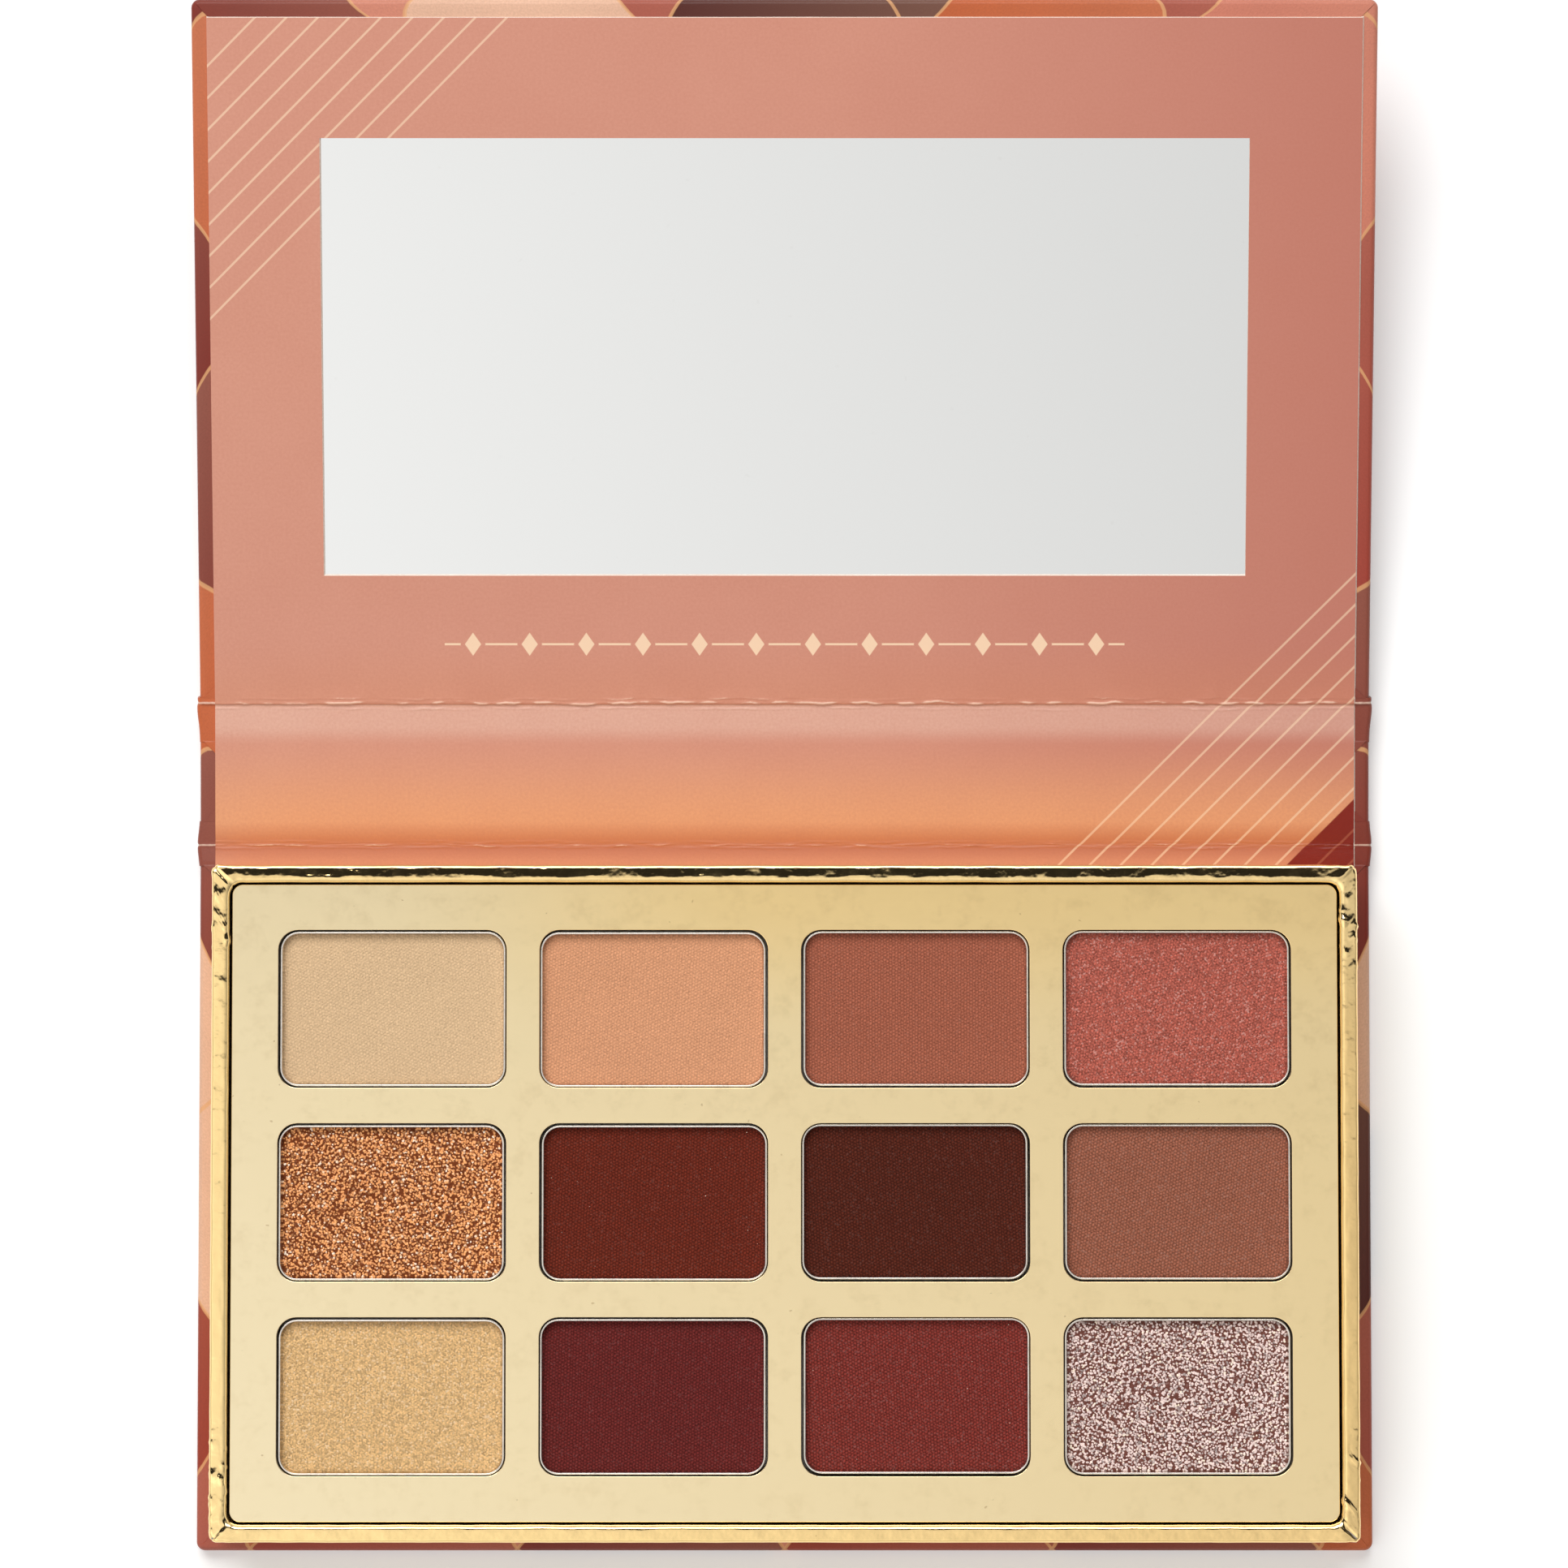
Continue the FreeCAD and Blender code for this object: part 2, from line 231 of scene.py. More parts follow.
# Studio light, in metres and watts
SKY_LEVEL = 0.88
SKY_SIDE_REACH = 0.5
SKY_SLOPE_CHANGE = (-0.2, -0.08)
SKY_SIDE_SLOPES = (-1.1, -0.55)
SKY_BACK_SLOPE = -0.22
SKY_TOP = 0.85
SKY_AT_HORIZON = 0.12
SKY_LEAST = 0.02
GAP_START = (0.03, 0.16)
GAP_END = (0.3, 0.55)
WHITE_HORIZON = (0.2, 0.45)
SOFT_BOX_PLACE = (-0.22, 0.8, 0.98)
SOFT_BOX_SIZE = (1.1, 0.8)
SOFT_BOX_AIM = (0.0, 0.03, 0.0)
SOFT_BOX_POWER = 13.0

# Floor, in millimetres, and the glow that shows it white
FLOOR_HALF = 2500.0
FLOOR_DROP = 0.03
FLOOR_GLOW = 0.16


def crease(name):
    """Where a crease turns, and how far it is bent as the palette lies open."""
    joint = next(j for j in frame["joints"] if j["name"] == name)
    return np.array(joint["pos_m"]) / MM, math.radians(-joint["range_deg"][0])


def turned(points, centre, angle):
    """Points turned about a line along X through a centre, by one angle or one for each point."""
    y = points[:, 1] - centre[1]
    z = points[:, 2] - centre[2]
    result = np.array(points, dtype=float)
    result[:, 1] = centre[1] + y * np.cos(angle) - z * np.sin(angle)
    result[:, 2] = centre[2] + y * np.sin(angle) + z * np.cos(angle)
    return result


base_crease, spine_turn = crease("spine_hinge")
lid_crease_open, lid_turn = crease("lid_hinge")
lid_crease = turned(lid_crease_open[None], base_crease, -spine_turn)[0]

# How much of the spine's and of the lid's turn each body takes
TURN_SHARES = {"base": (0.0, 0.0), "spine": (1.0, 0.0), "lid": (1.0, 1.0)}


def laid_open(points, spine_share, lid_share):
    """Points of the case laid flat, brought to the way it lies open."""
    lid_turned = turned(points, lid_crease, lid_turn * lid_share)
    return turned(lid_turned, base_crease, spine_turn * spine_share)


def bent_open(points, flat_y, bodies, crease_y):
    """Points on both sides of a crease, each turned with its own body, with a soft change at the crease."""
    near, far = np.array(TURN_SHARES[bodies[0]]), np.array(TURN_SHARES[bodies[1]])
    share = np.clip((flat_y - crease_y) / CREASE_SOFTNESS + 0.5, 0, 1)[:, None]
    shares = near + (far - near) * share
    return laid_open(points, shares[:, 0], shares[:, 1])


def flat_box(node, body):
    """Lowest and highest corner of a CAD node, with its body laid flat."""
    points = np.array([vertex.co for vertex in frame["nodes"][node].data.vertices]) / MM
    spine_share, lid_share = TURN_SHARES[body]
    points = turned(points, base_crease, -spine_turn * spine_share)
    points = turned(points, lid_crease, -lid_turn * lid_share)
    return points.min(axis=0), points.max(axis=0)


_, base_high = flat_box("base_wrap", "base")
base_liner_low, base_liner_high = flat_box("base_liner", "base")
spine_low, spine_high = flat_box("spine_wrap", "spine")
lid_low, _ = flat_box("lid_wrap", "lid")
_, lid_liner_high = flat_box("lid_liner", "lid")
mirror_low, mirror_high = flat_box("mirror", "lid")
case_half = base_high[0]
liner_half = base_liner_high[0]
paper = base_liner_high[2] - base_liner_low[2]
base_top = base_liner_high[2]
spine_top = spine_high[2] + paper
lid_top = lid_liner_high[2]
spine_middle = (spine_low[1] + spine_high[1]) / 2
window_x = (mirror_low[0] + MIRROR_OVERLAP, mirror_high[0] - MIRROR_OVERLAP)
window_y = (mirror_low[1] + MIRROR_OVERLAP, mirror_high[1] - MIRROR_OVERLAP)


# Mesh helpers

def make_piece(name, points, faces, materials, sheet=None, sharp_angle=40.0, worn=None):
    """A mesh object from points in millimetres, with each point's place in the print and its wear."""
    mesh = bpy.data.meshes.new(name)
    mesh.from_pydata((np.asarray(points) * MM).tolist(), [], faces)
    if worn is not None:
        mesh.attributes.new("worn", "FLOAT", "POINT").data.foreach_set("value", worn.astype(np.float32))
    if sheet is not None:
        corners = np.zeros(len(mesh.loops), dtype=np.int32)
        mesh.loops.foreach_get("vertex_index", corners)
        places = (np.asarray(sheet)[corners] / SHEET_UNIT).astype(np.float32)
        mesh.uv_layers.new(name="sheet").data.foreach_set("uv", places.ravel())
    for material in materials:
        mesh.materials.append(material)
    finish_shading(mesh, sharp_angle)
    return link_object(name, mesh)


def finish_shading(mesh, sharp_angle):
    """Smooth shading, with edges sharper than an angle kept."""
    mesh.shade_smooth()
    mesh.set_sharp_from_angle(angle=math.radians(sharp_angle))


def link_object(name, data):
    made = bpy.data.objects.new(name, data)
    bpy.context.scene.collection.objects.link(made)
    return made


CORNER_STEPS = 8
SHARP_CORNER = 0.04
NOISE_TO_UNIT = 1.7

# Sides of a ring are numbered anticlockwise from the front
FRONT, BACK = 0, 2


def side_counts(x_span, y_span, spacing):
    """How many stretches divide the right, back, left and front sides."""
    depth = max(int((y_span[1] - y_span[0]) / spacing), 1)
    width = max(int((x_span[1] - x_span[0]) / spacing), 1)
    return depth, width, depth, width


def ring(x_span, y_span, radii, inset, spacing):
    """A rectangle with rounded corners, drawn in by an inset, anticlockwise from its front right."""
    x0, x1 = x_span[0] + inset, x_span[1] - inset
    y0, y1 = y_span[0] + inset, y_span[1] - inset
    front = max(radii[0] - inset, SHARP_CORNER)
    back = max(radii[1] - inset, SHARP_CORNER)
    middles = (
        (x1 - front, y0 + front, front),
        (x1 - back, y1 - back, back),
        (x0 + back, y1 - back, back),
        (x0 + front, y0 + front, front),
    )
    quarter = np.radians(np.linspace(-90, 0, CORNER_STEPS + 1))
    arcs = []
    for number, (x, y, radius) in enumerate(middles):
        turn = quarter + number * math.pi / 2
        arcs.append(np.stack([x + radius * np.cos(turn), y + radius * np.sin(turn)], axis=1))
    points = []
    for number, count in enumerate(side_counts(x_span, y_span, spacing)):
        start = arcs[number][-1]
        end = arcs[(number + 1) % 4][0]
        share = np.arange(1, count)[:, None] / count
        points.append(arcs[number])
        points.append(start + share * (end - start))
    return np.concatenate(points)


def ring_sides(x_span, y_span, spacing):
    """The side that each point of a ring lies on, split at the corners' middles."""
    sides = []
    for number, count in enumerate(side_counts(x_span, y_span, spacing)):
        following = (number + 1) % 4
        half = CORNER_STEPS // 2
        sides += [number] * half + [following] * (CORNER_STEPS + 1 - half) + [following] * (count - 1)
    return np.array(sides)


def arc(centre, radius, first, last, steps):
    """Points of an arc in a section, between two angles in degrees."""
    turns = np.radians(np.linspace(first, last, steps + 1))
    return [(centre[0] + radius * math.cos(t), centre[1] + radius * math.sin(t)) for t in turns]


def loft(rings, closed=False):
    """Points and faces of a skin through rings of equal counts, capped at both ends or closed on itself."""
    count = len(rings[0])
    faces = []
    pairs = [(number, number + 1) for number in range(len(rings) - 1)]
    if closed:
        pairs.append((len(rings) - 1, 0))
    for lower, upper in pairs:
        for here in range(count):
            following = (here + 1) % count
            below, above = lower * count, upper * count
            faces.append((below + here, below + following, above + following, above + here))
    if not closed:
        faces.append(tuple(range(count - 1, -1, -1)))
        faces.append(tuple(range((len(rings) - 1) * count, len(rings) * count)))
    return np.concatenate(rings), faces


def at_height(flat_ring, z):
    """A ring of plan points at one height."""
    return np.column_stack([flat_ring, np.full(len(flat_ring), z)])


def wander(values, period, seed):
    """A smooth wandering number, about -1 to 1, along a line of values."""
    return NOISE_TO_UNIT * np.array([noise.noise((value / period, seed, 0.37)) for value in values])


def bell(distance, width):
    """A smooth hump: one at no distance, and nearly nothing at twice the width."""
    return math.exp(-((distance / width) ** 2))


def dent(piece, depth):
    """Move each point of a mesh along its normal by depth(x, y, z), all in millimetres."""
    vertices = piece.data.vertices
    normals = [vertex.normal.copy() for vertex in vertices]
    for vertex, normal in zip(vertices, normals):
        vertex.co += normal * (depth(*(vertex.co / MM)) * MM)


# Shader helpers

def srgb(red, green, blue):
    """A colour as it shows on screen, from 0 to 255, as linear light."""
    linear = []
    for value in (red / 255, green / 255, blue / 255):
        linear.append(value / 12.92 if value <= 0.04045 else ((value + 0.055) / 1.055) ** 2.4)
    return (*linear, 1.0)


def tree_of(*values):
    """The node tree of the first socket among some values."""
    return next(value for value in values if isinstance(value, bpy.types.NodeSocket)).id_data


def feed(socket, value):
    """Give a socket a value, or a link from another socket."""
    if isinstance(value, bpy.types.NodeSocket):
        socket.id_data.links.new(value, socket)
    else:
        socket.default_value = value


def add(tree, kind, inputs=None, **settings):
    """A node with its settings, and its inputs by name or number."""
    made = tree.nodes.new(kind)
    for key, value in settings.items():
        setattr(made, key, value)
    for key, value in (inputs or {}).items():
        feed(made.inputs[key], value)
    return made


def calc(operation, *values, clamp=False):
    """One step of arithmetic with sockets and numbers, in the sockets' own tree."""
    made = add(tree_of(*values), "ShaderNodeMath", operation=operation, use_clamp=clamp)
    for socket, value in zip(made.inputs, values):
        feed(socket, value)
    return made.outputs[0]


def mix(factor, first, second, share=None):
    """Two colours mixed by a factor, or by a share of it."""
    if share is not None:
        factor = calc("MULTIPLY", factor, share)
    inputs = {0: factor, 6: first, 7: second}
    return add(tree_of(factor, first, second), "ShaderNodeMix", inputs, data_type="RGBA").outputs[2]


def step_up(value, low, high, bottom=0.0, top=1.0):
    """A smooth step of a value from bottom to top between low and high."""
    inputs = {"Value": value, "From Min": low, "From Max": high, "To Min": bottom, "To Max": top}
    return add(tree_of(value), "ShaderNodeMapRange", inputs, interpolation_type="SMOOTHSTEP").outputs[0]


def ramp(factor, stops, interpolation="LINEAR"):
    """A colour ramp with stops of position and colour."""
    made = add(tree_of(factor), "ShaderNodeValToRGB", {"Fac": factor})
    made.color_ramp.interpolation = interpolation
    elements = made.color_ramp.elements
    elements[0].position, elements[0].color = stops[0]
    elements[1].position, elements[1].color = stops[-1]
    for position, colour in stops[1:-1]:
        elements.new(position).color = colour
    return made.outputs["Color"]


def stretched(place, scale):
    """A place scaled by three factors."""
    inputs = {0: place, 1: scale}
    return add(tree_of(place), "ShaderNodeVectorMath", inputs, operation="MULTIPLY").outputs["Vector"]


def coordinates(place):
    """X, Y and Z of a place."""
    return add(tree_of(place), "ShaderNodeSeparateXYZ", {0: place}).outputs


def grain(place, scale, detail=3.0, roughness=0.55):
    """Noise of a scale, in features to the millimetre."""
    inputs = {"Vector": place, "Scale": scale, "Detail": detail, "Roughness": roughness}
    return add(tree_of(place), "ShaderNodeTexNoise", inputs).outputs[0]


def bump(height, distance):
    """A normal from a height, with its reach in millimetres."""
    inputs = {"Height": height, "Distance": distance * MM}
    return add(tree_of(height), "ShaderNodeBump", inputs).outputs["Normal"]


def sheet_place(tree):
    """Place on the printed sheet, in millimetres."""
    return stretched(add(tree, "ShaderNodeUVMap", uv_map="sheet").outputs["UV"], (SHEET_UNIT,) * 3)


def object_place(tree):
    """Place in the object's frame, in millimetres."""
    return stretched(add(tree, "ShaderNodeTexCoord").outputs["Object"], (1 / MM,) * 3)


# Kinds of the named sockets that are no plain numbers
SOCKET_KINDS = {
    "Place": "Vector",
    "Underside": "Vector",
    "Columns": "Int",
    "Rows": "Int",
    "Seed": "Int",
    "Finish": "Material",
    "Geometry": "Geometry",
}


def new_tree(name, kind, inputs, outputs):
    """An empty node tree with named sockets, and where its values come in and go out."""
    tree = bpy.data.node_groups.new(name, kind)
    for in_out, labels in (("INPUT", inputs), ("OUTPUT", outputs)):
        for label in labels:
            socket_type = "NodeSocket" + SOCKET_KINDS.get(label, "Float")
            tree.interface.new_socket(label, in_out=in_out, socket_type=socket_type)
    return tree, add(tree, "NodeGroupInput").outputs, add(tree, "NodeGroupOutput").inputs


def effect(name, inputs, outputs):
    """An empty shader group, with its input and output sockets."""
    return new_tree(name, "ShaderNodeTree", inputs, outputs)


def use(tree, group, inputs):
    """A shader group placed in a material, with its own values."""
    return add(tree, "ShaderNodeGroup", inputs, node_tree=group).outputs


def new_material(name):
    material = bpy.data.materials.new(name)
    material.use_nodes = True
    return material, material.node_tree, material.node_tree.nodes["Principled BSDF"]


def set_shader(shader, **values):
    """Give the shader's sockets their values or links, named with underscores for spaces."""
    for key, value in values.items():
        feed(shader.inputs[key.replace("_", " ")], value)


# Effects that several finishes share

def paper_grain_effect():
    """Fibres and fine tooth of printed paper: a height, and a shade about one half."""
    group, given, result = effect("paper_grain", ("Place", "Tooth"), ("Height", "Shade"))
    tooth = grain(given["Place"], given["Tooth"], 4.0, 0.6)
    fibres = grain(stretched(given["Place"], (0.6, 2.4, 1.0)), given["Tooth"], 2.0)
    cloud = grain(given["Place"], 0.09, 2.0)
    height = calc("MULTIPLY_ADD", fibres, 0.5, tooth)
    feed(result["Height"], height)
    shade = calc("MULTIPLY_ADD", calc("SUBTRACT", tooth, 0.5), 2.4, cloud)
    feed(result["Shade"], shade)
    return group


def slanted_lines_effect():
    """A set of thin lines that rise to the right: a mask."""
    group, given, result = effect("slanted_lines", ("Place", "First", "Pitch", "Count", "Width"), ("Mask",))
    x, y, _ = coordinates(given["Place"])
    across = calc("SUBTRACT", x, y)
    number = calc("DIVIDE", calc("SUBTRACT", across, given["First"]), given["Pitch"])
    off_line = calc("ABSOLUTE", calc("SUBTRACT", number, calc("ROUND", number)))
    off_line = calc("MULTIPLY", off_line, given["Pitch"])
    inner, outer = (calc("MULTIPLY", given["Width"], edge) for edge in LINE_EDGE)
    line = step_up(off_line, inner, outer, 1.0, 0.0)
    after_first = calc("GREATER_THAN", number, -0.5)
    before_last = calc("LESS_THAN", number, calc("SUBTRACT", given["Count"], 0.5))
    mask = calc("MULTIPLY", line, calc("MULTIPLY", after_first, before_last))
    feed(result["Mask"], mask)
    return group


def foil_skin_effect():
    """Slow waves and fine scuffs of foil pressed on card or board: a height and a scuff mask."""
    group, given, result = effect("foil_skin", ("Place", "Wave"), ("Height", "Scuff"))
    waves = grain(given["Place"], given["Wave"], 2.0, 0.5)
    pores = grain(given["Place"], 3.5, 3.0, 0.6)
    feed(result["Height"], calc("MULTIPLY_ADD", pores, 0.04, waves))
    scuffs = grain(given["Place"], 0.35, 5.0, 0.65)
    feed(result["Scuff"], step_up(scuffs, 0.45, 0.8))
    return group


def cloth_press_effect():
    """What a pressing cloth leaves on powder: a height, a shade about one half and a weave; also light
    specks, partly dust and partly painted glints.
    """
    group, given, result = effect("cloth_press", ("Place", "Turn"), ("Height", "Shade", "Weave", "Speck"))
    turn = {"Vector": given["Place"], "Angle": given["Turn"]}
    turned_place = add(group, "ShaderNodeVectorRotate", turn, rotation_type="Z_AXIS").outputs[0]
    x, y, _ = coordinates(turned_place)
    weave = calc("MULTIPLY", grain(given["Place"], 1.1, 2.0), 0.2)
    sway = calc("MULTIPLY_ADD", grain(given["Place"], 1.4, 3.0), 8.0, -4.0)
    for angle in WEAVE_ANGLES:
        wave_x = math.cos(math.radians(angle)) * 2 * math.pi / WEAVE_PITCH
        wave_y = math.sin(math.radians(angle)) * 2 * math.pi / WEAVE_PITCH
        phase = calc("MULTIPLY_ADD", x, wave_x, calc("MULTIPLY_ADD", y, wave_y, sway))
        weave = calc("MULTIPLY_ADD", calc("COSINE", phase), 0.4, weave)
    powdery = grain(given["Place"], 3.4, 5.0, 0.75)
    height = calc("MULTIPLY_ADD", weave, 0.3, powdery)
    feed(result["Height"], height)
    patch = grain(given["Place"], 0.22, 3.0)
    mottle = calc("MULTIPLY_ADD", powdery, 2.8, calc("MULTIPLY_ADD", patch, 0.3, -1.1))
    feed(result["Shade"], mottle)
    feed(result["Weave"], calc("SUBTRACT", weave, 0.1))
    # Light specks: partly dust, partly painted glints
    feed(result["Speck"], step_up(grain(given["Place"], 3.8, 2.0, 0.6), 0.56, 0.72))
    return group


def pearl_effect():
    """Pearl and glitter grains in a pressed powder: a height, a spark mask and a random tint."""
    group, given, result = effect("pearl", ("Place", "Grain"), ("Height", "Spark", "Tint"))
    scale = calc("DIVIDE", 1.0, given["Grain"])
    cells = add(group, "ShaderNodeTexVoronoi", {"Vector": given["Place"], "Scale": scale}).outputs
    red, green, _ = add(group, "ShaderNodeSeparateColor", {0: cells["Color"]}).outputs
    rough = grain(given["Place"], scale, 3.0, 0.7)
    bowl = calc("MULTIPLY", cells["Distance"], 0.5)
    feed(result["Height"], calc("SUBTRACT", rough, bowl))
    feed(result["Spark"], step_up(red, 0.84, 1.0))
    feed(result["Tint"], green)
    return group


paper_grain = paper_grain_effect()
slanted_lines = slanted_lines_effect()
foil_skin = foil_skin_effect()
cloth_press = cloth_press_effect()
pearl = pearl_effect()


# Finishes

CREAM_INK = srgb(240, 208, 176)


def lozenge_row(x, y):
    """A thin rule set with small lozenges: a mask."""
    half_row = (LOZENGES - 1) / 2
    number = calc("ADD", calc("DIVIDE", x, LOZENGE_PITCH), half_row)
    nearest = calc("MINIMUM", calc("MAXIMUM", calc("ROUND", number), 0.0), LOZENGES - 1.0)
    off_middle = calc("MULTIPLY", calc("SUBTRACT", number, nearest), LOZENGE_PITCH)
    across = calc("ABSOLUTE", off_middle)
    along = calc("ABSOLUTE", calc("SUBTRACT", y, lid_crease[1] + LOZENGE_FROM_CREASE))
    reach = calc("DIVIDE", across, LOZENGE_SIZE[0])
    reach = calc("ADD", reach, calc("DIVIDE", along, LOZENGE_SIZE[1]))
    lozenge = step_up(reach, 0.94, 1.06, 1.0, 0.0)
    rule = step_up(along, *(edge * RULE_WIDTH for edge in LINE_EDGE), 1.0, 0.0)
    row_end = (half_row + 0.5) * LOZENGE_PITCH
    in_row = calc("LESS_THAN", calc("ABSOLUTE", x), row_end)
    clear = step_up(reach, 1.5, 1.6)
    rule = calc("MULTIPLY", calc("MULTIPLY", rule, in_row), clear)
    return calc("MAXIMUM", lozenge, rule)


def crack_mask(tree, place):
    """Where ink has cracked along a fold and shows the pale paper."""
    worn = add(tree, "ShaderNodeAttribute", attribute_name="worn").outputs["Fac"]
    ragged = calc("MULTIPLY_ADD", grain(place, 2.2, 3.0), 0.5, worn)
    return step_up(ragged, 0.6, 1.15, 0.0, 0.7)


def set_printed(shader, tint, skin, specular, tooth):
    """Satin printed paper: its inks, and the skin that gives it roughness and tooth."""
    roughness = step_up(skin["Shade"], 0.2, 0.8, 0.34, 0.46)
    normal = bump(skin["Height"], tooth)
    set_shader(shader, Base_Color=tint, Roughness=roughness, Specular_IOR_Level=specular, Normal=normal)


def liner_print():
    """Satin paper in warm pink, a little deeper to the right, with thin cream lines, and painted light: a
    gold glow and shade by the tray, shade low on the lid and a sheen by the lid crease.
    """
    material, tree, shader = new_material("liner_print")
    place = sheet_place(tree)
    x, y, _ = coordinates(place)
    paper_skin = use(tree, paper_grain, {"Place": place, "Tooth": 3.0})
    tint = ramp(
        calc("DIVIDE", calc("ADD", x, liner_half), 2 * liner_half),
        [(0.0, srgb(207, 146, 125)), (0.55, srgb(204, 141, 121)), (1.0, srgb(188, 119, 103))],
    )
    # Painted light by the tray: a gold glow reflected from the tray wall onto the spine, and painted shade in
    # the base crease and on the strip next to the tray
    warm = ramp(
        calc("DIVIDE", calc("SUBTRACT", y, base_crease[1] - 2.0), 6.0),
        [
            (0.0, srgb(210, 138, 104)),
            (0.24, srgb(186, 108, 76)),
            (0.46, srgb(200, 120, 74)),
            (0.8, srgb(225, 158, 112)),
        ],
    )
    # How much of the painted glow and shade shows: most on the strip by the tray, fading out across the spine
    painted_glow_and_shade_share = step_up(y, spine_low[1], spine_high[1] + 1.0, 0.85, 0.0)
    tint = mix(painted_glow_and_shade_share, tint, warm)
    # Painted shade low on the lid, where the liner rolls down to the crease
    painted_lid_crease_shade = step_up(y, lid_crease[1], lid_crease[1] + 9.0, 0.35, 0.0)
    painted_lid_crease_shade = calc("MULTIPLY", painted_lid_crease_shade, calc("GREATER_THAN", y, lid_crease[1]))
    tint = mix(painted_lid_crease_shade, tint, srgb(202, 132, 96))
    # Painted sheen on the liner between the spine and the lid crease
    haze = step_up(y, spine_high[1] - 1.0, spine_high[1] + 1.5, 0.0, 0.3)
    haze = calc("MULTIPLY", haze, calc("LESS_THAN", y, lid_crease[1] + 0.5))
    tint = mix(haze, tint, srgb(238, 210, 192))
    tint = mix(paper_skin["Shade"], tint, srgb(180, 106, 84), 0.24)
    dark = step_up(calc("SUBTRACT", x, y), DARK_CORNER_FROM - 0.1, DARK_CORNER_FROM + 0.1)
    tint = mix(dark, tint, srgb(126, 30, 15))
    line_sets = (
        (UPPER_LINES_FIRST, UPPER_LINES, CREAM_INK, 0.58),
        (LOWER_LINES_FIRST, LOWER_LINES, CREAM_INK, 0.52),
        (DARK_LINES_FIRST, DARK_LINES, srgb(158, 78, 56), 0.8),
    )
    for first, count, ink, cover in line_sets:
        inputs = {"Place": place, "First": first, "Pitch": LINE_PITCH, "Count": count, "Width": LINE_WIDTH}
        line = use(tree, slanted_lines, inputs)["Mask"]
        tint = mix(line, tint, ink, cover)
    tint = mix(lozenge_row(x, y), tint, CREAM_INK, 0.92)
    tint = mix(crack_mask(tree, place), tint, srgb(240, 202, 178))
    set_printed(shader, tint, paper_skin, 0.25, 0.014)
    return material


def outer_print():
    """Satin wrap printed with plain diamonds in reds, browns and pinks, edged by thin gold lines."""
    material, tree, shader = new_material("outer_print")
    place = sheet_place(tree)
    x, y, _ = coordinates(place)
    paper_skin = use(tree, paper_grain, {"Place": place, "Tooth": 4.0})
    across = calc("DIVIDE", x, DIAMOND_SIZE[0])
    along = calc("DIVIDE", y, DIAMOND_SIZE[1])
    rising = calc("ADD", across, along)
    falling = calc("SUBTRACT", across, along)
    numbers = {0: calc("FLOOR", rising), 1: calc("FLOOR", falling)}
    cell = add(tree, "ShaderNodeCombineXYZ", numbers).outputs[0]
    pick = add(tree, "ShaderNodeTexWhiteNoise", {"Vector": cell}).outputs["Value"]
    tint = ramp(
        pick,
        [
            (0.0, srgb(158, 62, 48)),
            (0.17, srgb(190, 94, 50)),
            (0.31, srgb(122, 38, 26)),
            (0.45, srgb(78, 28, 20)),
            (0.58, srgb(202, 122, 100)),
            (0.74, srgb(150, 54, 34)),
            (0.88, srgb(226, 180, 152)),
        ],
        "CONSTANT",
    )
    sheen = calc("FRACT", rising)
    tint = mix(sheen, tint, srgb(236, 190, 160), 0.12)
    tint = mix(paper_skin["Shade"], tint, srgb(90, 40, 30), 0.2)
    edge = 1.0
    for slope in (rising, falling):
        off_edge = calc("ABSOLUTE", calc("SUBTRACT", slope, calc("ROUND", slope)))
        edge = calc("MINIMUM", edge, off_edge)
    line_half = DIAMOND_LINE / DIAMOND_SIZE[0] / 2
    line = step_up(edge, 0.7 * line_half, 1.3 * line_half, 1.0, 0.0)
    tint = mix(line, tint, srgb(216, 160, 110), 0.75)
    tint = mix(crack_mask(tree, place), tint, srgb(240, 210, 190))
    set_printed(shader, tint, paper_skin, 0.3, 0.01)
    return material


def paper_edge():
    """The pale cut edge of printed paper."""
    material, tree, shader = new_material("paper_edge")
    place = object_place(tree)
    fibres = use(tree, paper_grain, {"Place": place, "Tooth": 6.0})
    tint = mix(fibres["Shade"], srgb(246, 232, 220), srgb(222, 196, 180))
    set_shader(shader, Base_Color=tint, Roughness=0.8, Normal=bump(fibres["Height"], 0.02))
    return material


def gold_foil(name, colour, deep, wave, wave_depth, roughness):
    """Gold foil laid on card or board, with painted reflection that leaves it a little deeper in tone to the
    right and richer at the far side.
    """
    material, tree, shader = new_material(name)
    place = object_place(tree)
    skin = use(tree, foil_skin, {"Place": place, "Wave": wave})
    x, y, _ = coordinates(place)
    specks = step_up(grain(place, 1.3, 1.0), 0.8, 0.83)
    # Painted reflection: the foil paler to the left and front, deeper to the right and back
    painted_reflection_fade = calc("MULTIPLY_ADD", x, -0.5 / case_half, 0.45)
    painted_reflection_fade = calc("MULTIPLY_ADD", y, -0.3 / case_half, painted_reflection_fade, clamp=True)
    tone = mix(painted_reflection_fade, deep, colour)
    # Painted amber reflection towards the back and right of the foil
    painted_amber_reflection = calc("MULTIPLY", step_up(y, 18.0, 36.0), step_up(x, -50.0, 0.0))
    tone = mix(painted_amber_reflection, tone, srgb(254, 223, 160))
    worn = mix(skin["Scuff"], tone, srgb(214, 178, 116), 0.1)
    tint = mix(specks, worn, srgb(150, 116, 66), 0.35)
    rough = calc("MULTIPLY_ADD", skin["Scuff"], 0.07, roughness)
    normal = bump(skin["Height"], wave_depth)
    set_shader(shader, Base_Color=tint, Metallic=1.0, Roughness=rough, Normal=normal)
    return material


